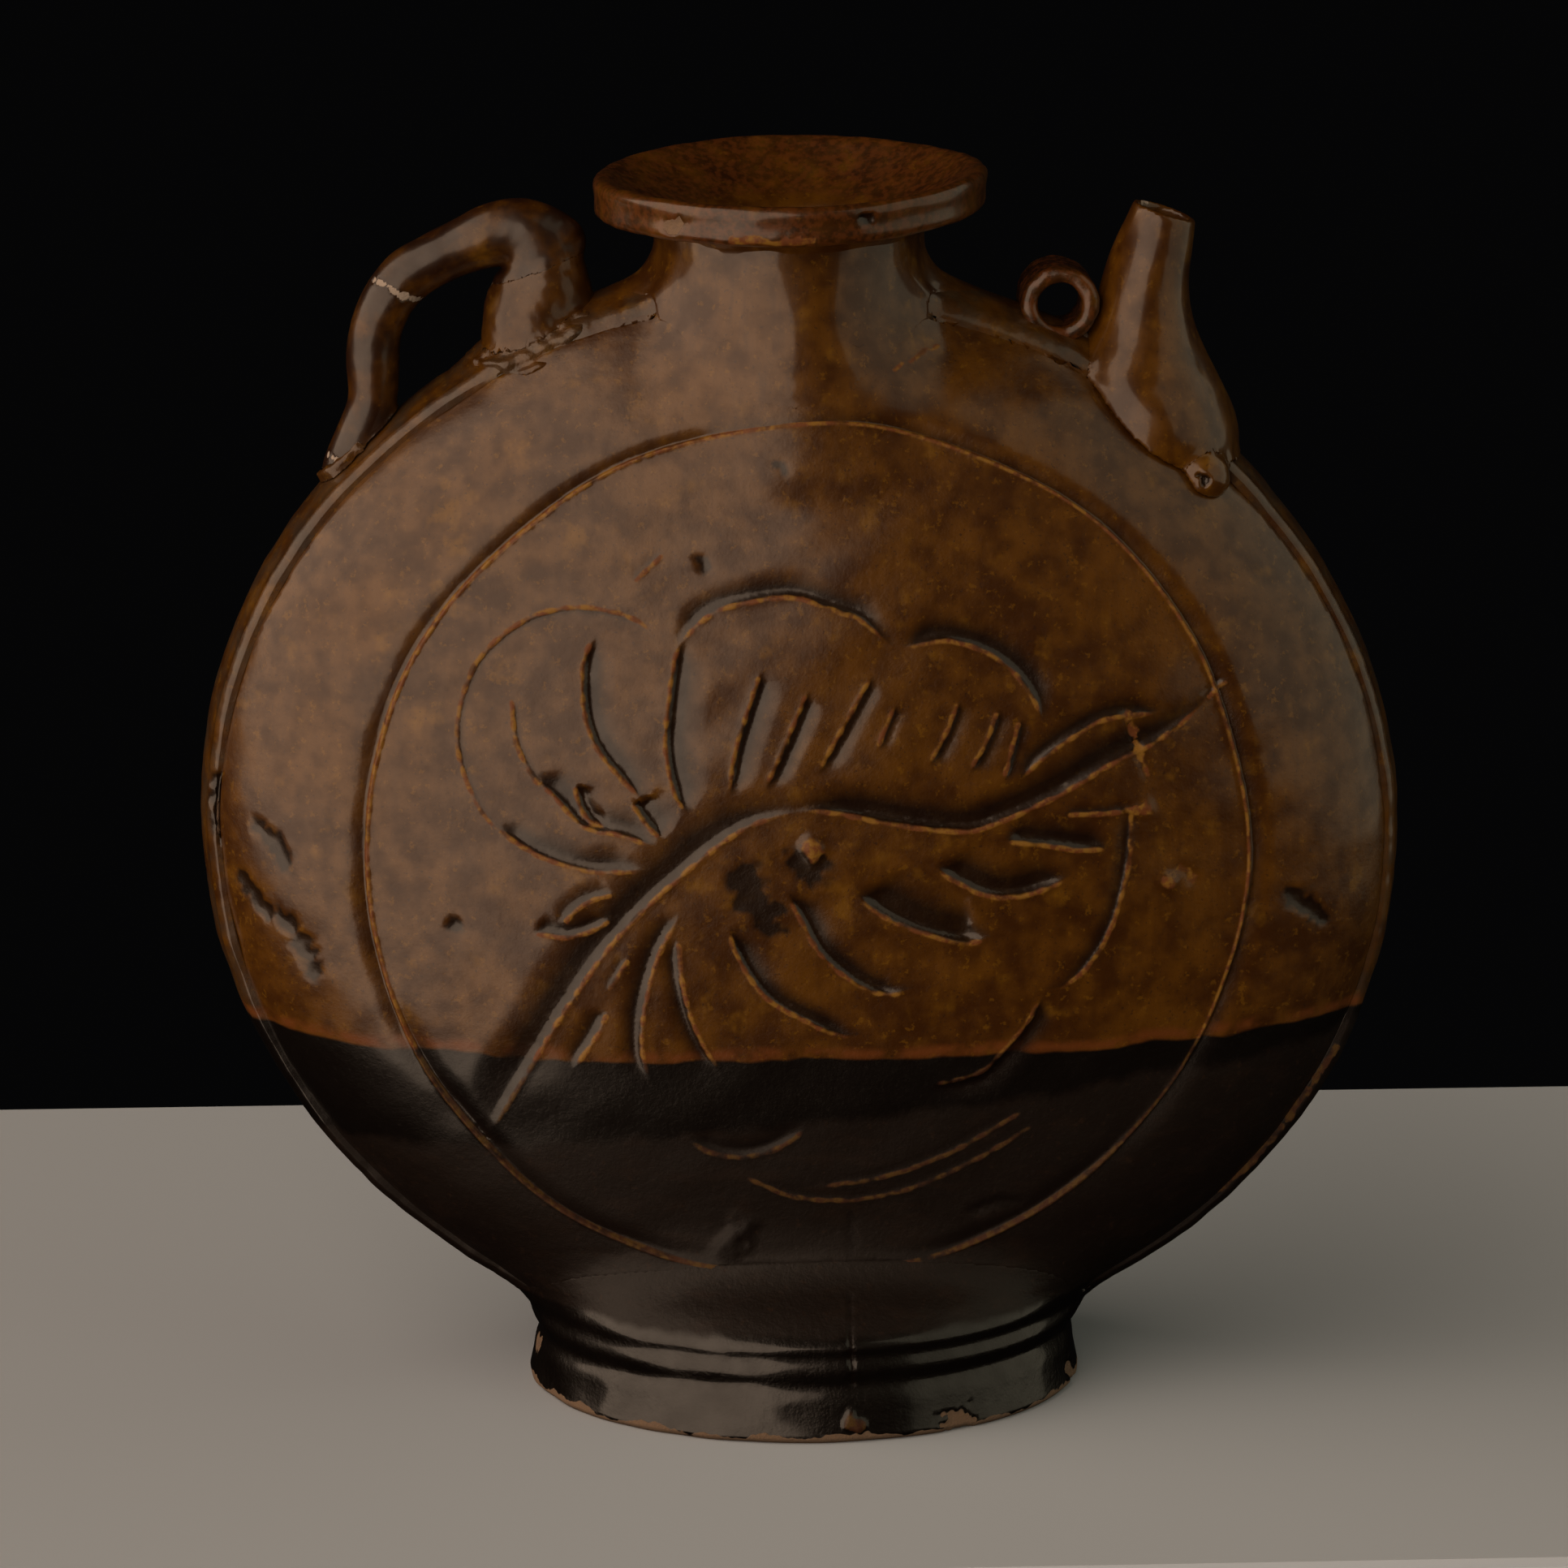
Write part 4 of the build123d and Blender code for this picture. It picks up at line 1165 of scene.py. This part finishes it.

# %% [markdown]
# ## Glaze
#
# The glaze is an iron one. Where it is thick it is almost black, where it is thinner it is amber, and where
# it ran off an edge in the fire it breaks to rust and gold. The flask was dipped twice, so one level line
# runs round it low on the medallion, and below a second one the glaze is a duller brown, painted darker
# still with the shade that falls on the lower body, which faces down. The foot is glossy and almost black
# again, with a bare edge to stand on. All of that is a few masks, mixed in the order in which the kiln made
# them. Positions are read in millimetres, so heights and waves below are sizes on the flask.

# %% Colours
AMBER, AMBER_DEEP, AMBER_THIN = (0.088, 0.0345, 0.0011), (0.036, 0.0118, 0.0008), (0.150, 0.070, 0.0030)
# The low brown below the second line is a duller glaze, painted darker with the shade of the lower body, which
# faces down.
NEAR_BLACK, SHADED_LOW_BROWN, POOLED = (0.0030, 0.0019, 0.0014), (0.0055, 0.0027, 0.0016), (0.0042, 0.0018, 0.0010)
GOLD, RUST, PURPLE = (0.210, 0.105, 0.012), (0.125, 0.037, 0.008), (0.016, 0.007, 0.005)
DARK_COAT, GREY_COAT = (0.012, 0.0040, 0.0018), (0.030, 0.028, 0.022)
WHEEL_BROWN, SPOT_BROWN = (0.0095, 0.0044, 0.0022), (0.016, 0.0072, 0.0032)
BARE_CLAY, CHIPPED, PALE = (0.125, 0.087, 0.065), (0.165, 0.105, 0.060), (0.30, 0.25, 0.21)
RAW_CLAY, RAW_SPOT = (0.085, 0.055, 0.038), (0.035, 0.018, 0.010)
DIP_HEIGHT, BROWN_HEIGHT, FOOT_DIP_HEIGHT = 95.8, 79.5, 25.5
GLASS, UNDER_GLASS = 1.5, 1.34


class Paint(Tree):
    """A material, its Principled shader, and a few masks by position."""

    def __init__(self, name):
        self.material = bpy.data.materials.new(name)
        self.material.use_nodes = True
        super().__init__(self.material.node_tree)
        self.shader = self.tree.nodes["Principled BSDF"]
        here = self.node("ShaderNodeTexCoord", {}, {}, "Object")
        self.mm = self.node("ShaderNodeVectorMath", {"operation": "SCALE"}, {"Vector": here, "Scale": 1 / MM})
        self.x, self.y, self.z = (self.node("ShaderNodeSeparateXYZ", {}, [self.mm], axis) for axis in "XYZ")

    def noise(self, size, detail=2.0, stretch=(1, 1, 1), roughness=0.55):
        """Cloudy values from 0 to 1 whose patches are about this many millimetres."""
        where = self.node("ShaderNodeVectorMath", {"operation": "MULTIPLY"},
                          [self.mm, tuple(1 / long for long in stretch)])
        return self.node("ShaderNodeTexNoise", {}, {
            "Vector": where, "Scale": 1 / size, "Detail": detail, "Roughness": roughness})

    def finish(self, name):
        """The number that the mesh carries for this finish."""
        return self.node("ShaderNodeAttribute", {"attribute_name": name}, {}, "Fac")

    def mix(self, share, one, other):
        return self.node("ShaderNodeMix", {"data_type": "RGBA"}, {"Factor": share, "A": one, "B": other})

    def use(self, **sockets):
        """Sets or links the shader's sockets, by their names with _ for a space."""
        for name, value in sockets.items():
            socket = self.shader.inputs[name.replace("_", " ")]
            if isinstance(value, Wire):
                self.tree.links.new(value.socket, socket)
            else:
                socket.default_value = value

    def relief(self, height, reach):
        """A bump of this many millimetres."""
        return self.node("ShaderNodeBump", {}, {"Strength": 1.0, "Distance": reach * MM, "Height": height})


def glaze(name, gloss, grain, streaks=0.0, dipped=True, cool=0.0, rusty=0.0, dark=0.0, above=0.0):
    """Iron glaze over stoneware, under a glassy coat of this roughness, with this much fine relief in it.

    Pieces that went into the second glaze are dipped. cool greys the glaze, and rusty and dark brown it above a
    height.
    """
    paint = Paint(name)
    upper = paint.z.step(above - 1, above + 1)
    clouds, patches, speckle = paint.noise(26, 3), paint.noise(6.5, 4), paint.noise(1.3, 3, roughness=0.7)
    thick = (clouds * 0.5 + patches * 0.5).step(0.36, 0.66)
    colour = paint.mix(thick, AMBER_DEEP, AMBER)
    colour = paint.mix(paint.noise(9, 3).step(0.58, 0.75) * 0.6, colour, AMBER_THIN)
    colour = paint.mix(speckle.step(0.60, 0.72) * 0.5, colour, AMBER_DEEP)
    colour = paint.mix(paint.noise(2.4, 3, roughness=0.7).step(0.58, 0.68) * 0.45, colour, AMBER_THIN)
    if dark:
        colour = paint.mix(paint.noise(8, 3).step(0.25, 0.6) * upper * dark, colour, DARK_COAT)
    colour = paint.mix(paint.noise(0.8, 1).step(0.66, 0.74) * 0.55, colour, PURPLE)
    if streaks:
        runs = paint.noise(3.2, 3, stretch=(1, 1, 9)).step(0.45, 0.7) * streaks
        colour = paint.mix(runs, colour, AMBER_DEEP)
    if cool:
        colour = paint.mix(paint.noise(7, 3).step(0.35, 0.7) * cool, colour, GREY_COAT)
    if rusty:
        colour = paint.mix(paint.noise(1.8, 3).step(0.4, 0.62) * upper * rusty, colour, RUST)
    under_line = 0.0
    if dipped:
        first = paint.z - DIP_HEIGHT - paint.y * 0.073 + (paint.noise(17, 2) - 0.5) * 5.0
        second = paint.z - BROWN_HEIGHT - paint.x * 0.096 - paint.y * 0.09 + (paint.noise(14, 4) - 0.5) * 9.0
        rim_of_dip = first.bump(1.6, 2.6) * paint.noise(8, 3).step(0.35, 0.6)
        colour = paint.mix(rim_of_dip * 0.75, colour, RUST)
        under_line = 1 - first.step(-0.5, 0.5)
        colour = paint.mix(under_line, colour, NEAR_BLACK)
        foot_dip = (paint.z - FOOT_DIP_HEIGHT + (paint.noise(10, 2) - 0.5) * 3.0).step(-1.0, 1.0)
        low_part = (1 - second.step(-1.5, 2.5)) * foot_dip
        wheel = paint.noise(5, 3, stretch=(2.4, 1, 1)).step(0.5, 0.72)
        # Below the second line: the duller glaze, with painted shade of the downward-facing lower body in its
        # dark brown.
        brown = paint.mix(wheel * 0.7, SHADED_LOW_BROWN, WHEEL_BROWN)
        brown = paint.mix(paint.noise(2.2, 2).step(0.62, 0.75) * 0.6, brown, SPOT_BROWN)
        colour = paint.mix(low_part, colour, brown)
    pool, lip, bare, pale = (paint.finish(finish) for finish in ("pool", "lip", "bare", "pale"))
    if dipped:
        bare = bare.highest(1 - (paint.z + (paint.noise(9, 3) - 0.5) * 7.0).step(1.2, 2.6))
    colour = paint.mix((pool * 1.6).clamped() * 0.88, colour, POOLED)
    broken = paint.mix(paint.noise(2.5, 3).step(0.42, 0.62), RUST, GOLD)
    burr = lip.step(0.25, 0.8) * paint.noise(5, 3).step(0.28, 0.5) * (0.9 - under_line * 0.6)
    colour = paint.mix(burr, colour, broken)
    colour = paint.mix(bare.step(0.35, 0.6), colour, paint.mix(paint.noise(1.5, 3), BARE_CLAY, CHIPPED))
    colour = paint.mix(pale.step(0.4, 0.7), colour, PALE)
    dry = bare.step(0.35, 0.6).highest(pale.step(0.4, 0.7))
    shine = (0.40 + patches.step(0.3, 0.7) * 0.24) * (1 - dry) * (1 - lip.step(0.3, 0.8) * 0.8)
    roughness = 0.34 + (patches - 0.5) * 0.12 + speckle.step(0.55, 0.7) * 0.08 + lip.step(0.3, 0.8) * 0.2
    if dipped:
        shine, roughness = shine * (1 - low_part * 0.92), roughness + low_part * 0.18
    peel = paint.noise(2.1, 2) * grain + paint.noise(0.7, 2) * grain * 0.5
    paint.use(Base_Color=colour, Roughness=roughness * (1 - dry) + dry * 0.8, Coat_Weight=shine,
              Normal=paint.relief(peel + dry * paint.noise(0.8, 3) * 0.25, 1.0))
    paint.use(IOR=UNDER_GLASS, Coat_IOR=GLASS, Coat_Roughness=gloss)
    return paint.material


def raw_clay(name):
    """Clay that the glaze never reached."""
    paint = Paint(name)
    colour = paint.mix(paint.noise(2.4, 4).step(0.3, 0.7), RAW_CLAY, BARE_CLAY)
    colour = paint.mix(paint.noise(0.7, 2).step(0.6, 0.7), colour, RAW_SPOT)
    paint.use(Base_Color=colour, Roughness=0.85, Normal=paint.relief(paint.noise(0.9, 4), 0.4), IOR=1.45)
    return paint.material


finishes_of = {
    "front_bowl": glaze("front_glaze", gloss=0.17, grain=0.10, streaks=0.3),
    "back_bowl": glaze("back_glaze", gloss=0.18, grain=0.07, streaks=0.3),
    "edge_strap": glaze("strap_glaze", gloss=0.15, grain=0.08, streaks=0.4, cool=0.5),
    "foot_ring": glaze("foot_glaze", gloss=0.13, grain=0.16),
    "neck_collar": glaze("neck_glaze", gloss=0.10, grain=0.05, streaks=0.5, dipped=False),
    "mouth_dish": glaze("dish_glaze", gloss=0.16, grain=0.06, dipped=False, rusty=0.4, dark=0.6, above=289.5),
    "spout": glaze("spout_glaze", gloss=0.13, grain=0.04, streaks=0.5, dipped=False),
    "handle_coil": glaze("handle_glaze", gloss=0.18, grain=0.04, dipped=False, dark=0.9),
    "fan_root": glaze("fan_glaze", gloss=0.15, grain=0.05, dipped=False, dark=0.4),
    "tube_lug": glaze("lug_glaze", gloss=0.22, grain=0.12, dipped=False, rusty=0.5, dark=0.8),
    "lug_wad": raw_clay("raw_clay"),
    "spout_heel": glaze("heel_glaze", gloss=0.11, grain=0.06, dipped=False),
    "fan_luting": glaze("luting_glaze", gloss=0.20, grain=0.35, dipped=False, cool=0.5),
    "heel_pad": glaze("pad_glaze", gloss=0.14, grain=0.2, dipped=False, cool=0.3),
}

# %% [markdown]
# ## Handing over
#
# Each worked piece takes its glaze, rides on the flask and stands for its imported solid. The cutting tools
# go.

# %% Everything in its place
worked = {"front_bowl": front_bowl, "back_bowl": back_bowl, "edge_strap": edge_strap, "mouth_dish": dish,
          "foot_ring": foot, **hand_built}
for node, piece in worked.items():
    piece.data.materials.clear()
    piece.data.materials.append(finishes_of[node])
    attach(piece, "root")
    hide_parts(node)
TOOLS = ("neck_passage", "spout_passage", "body_plug")
for tool in [found for found in scene.objects if found.name.startswith(TOOLS)]:
    bpy.data.objects.remove(tool)
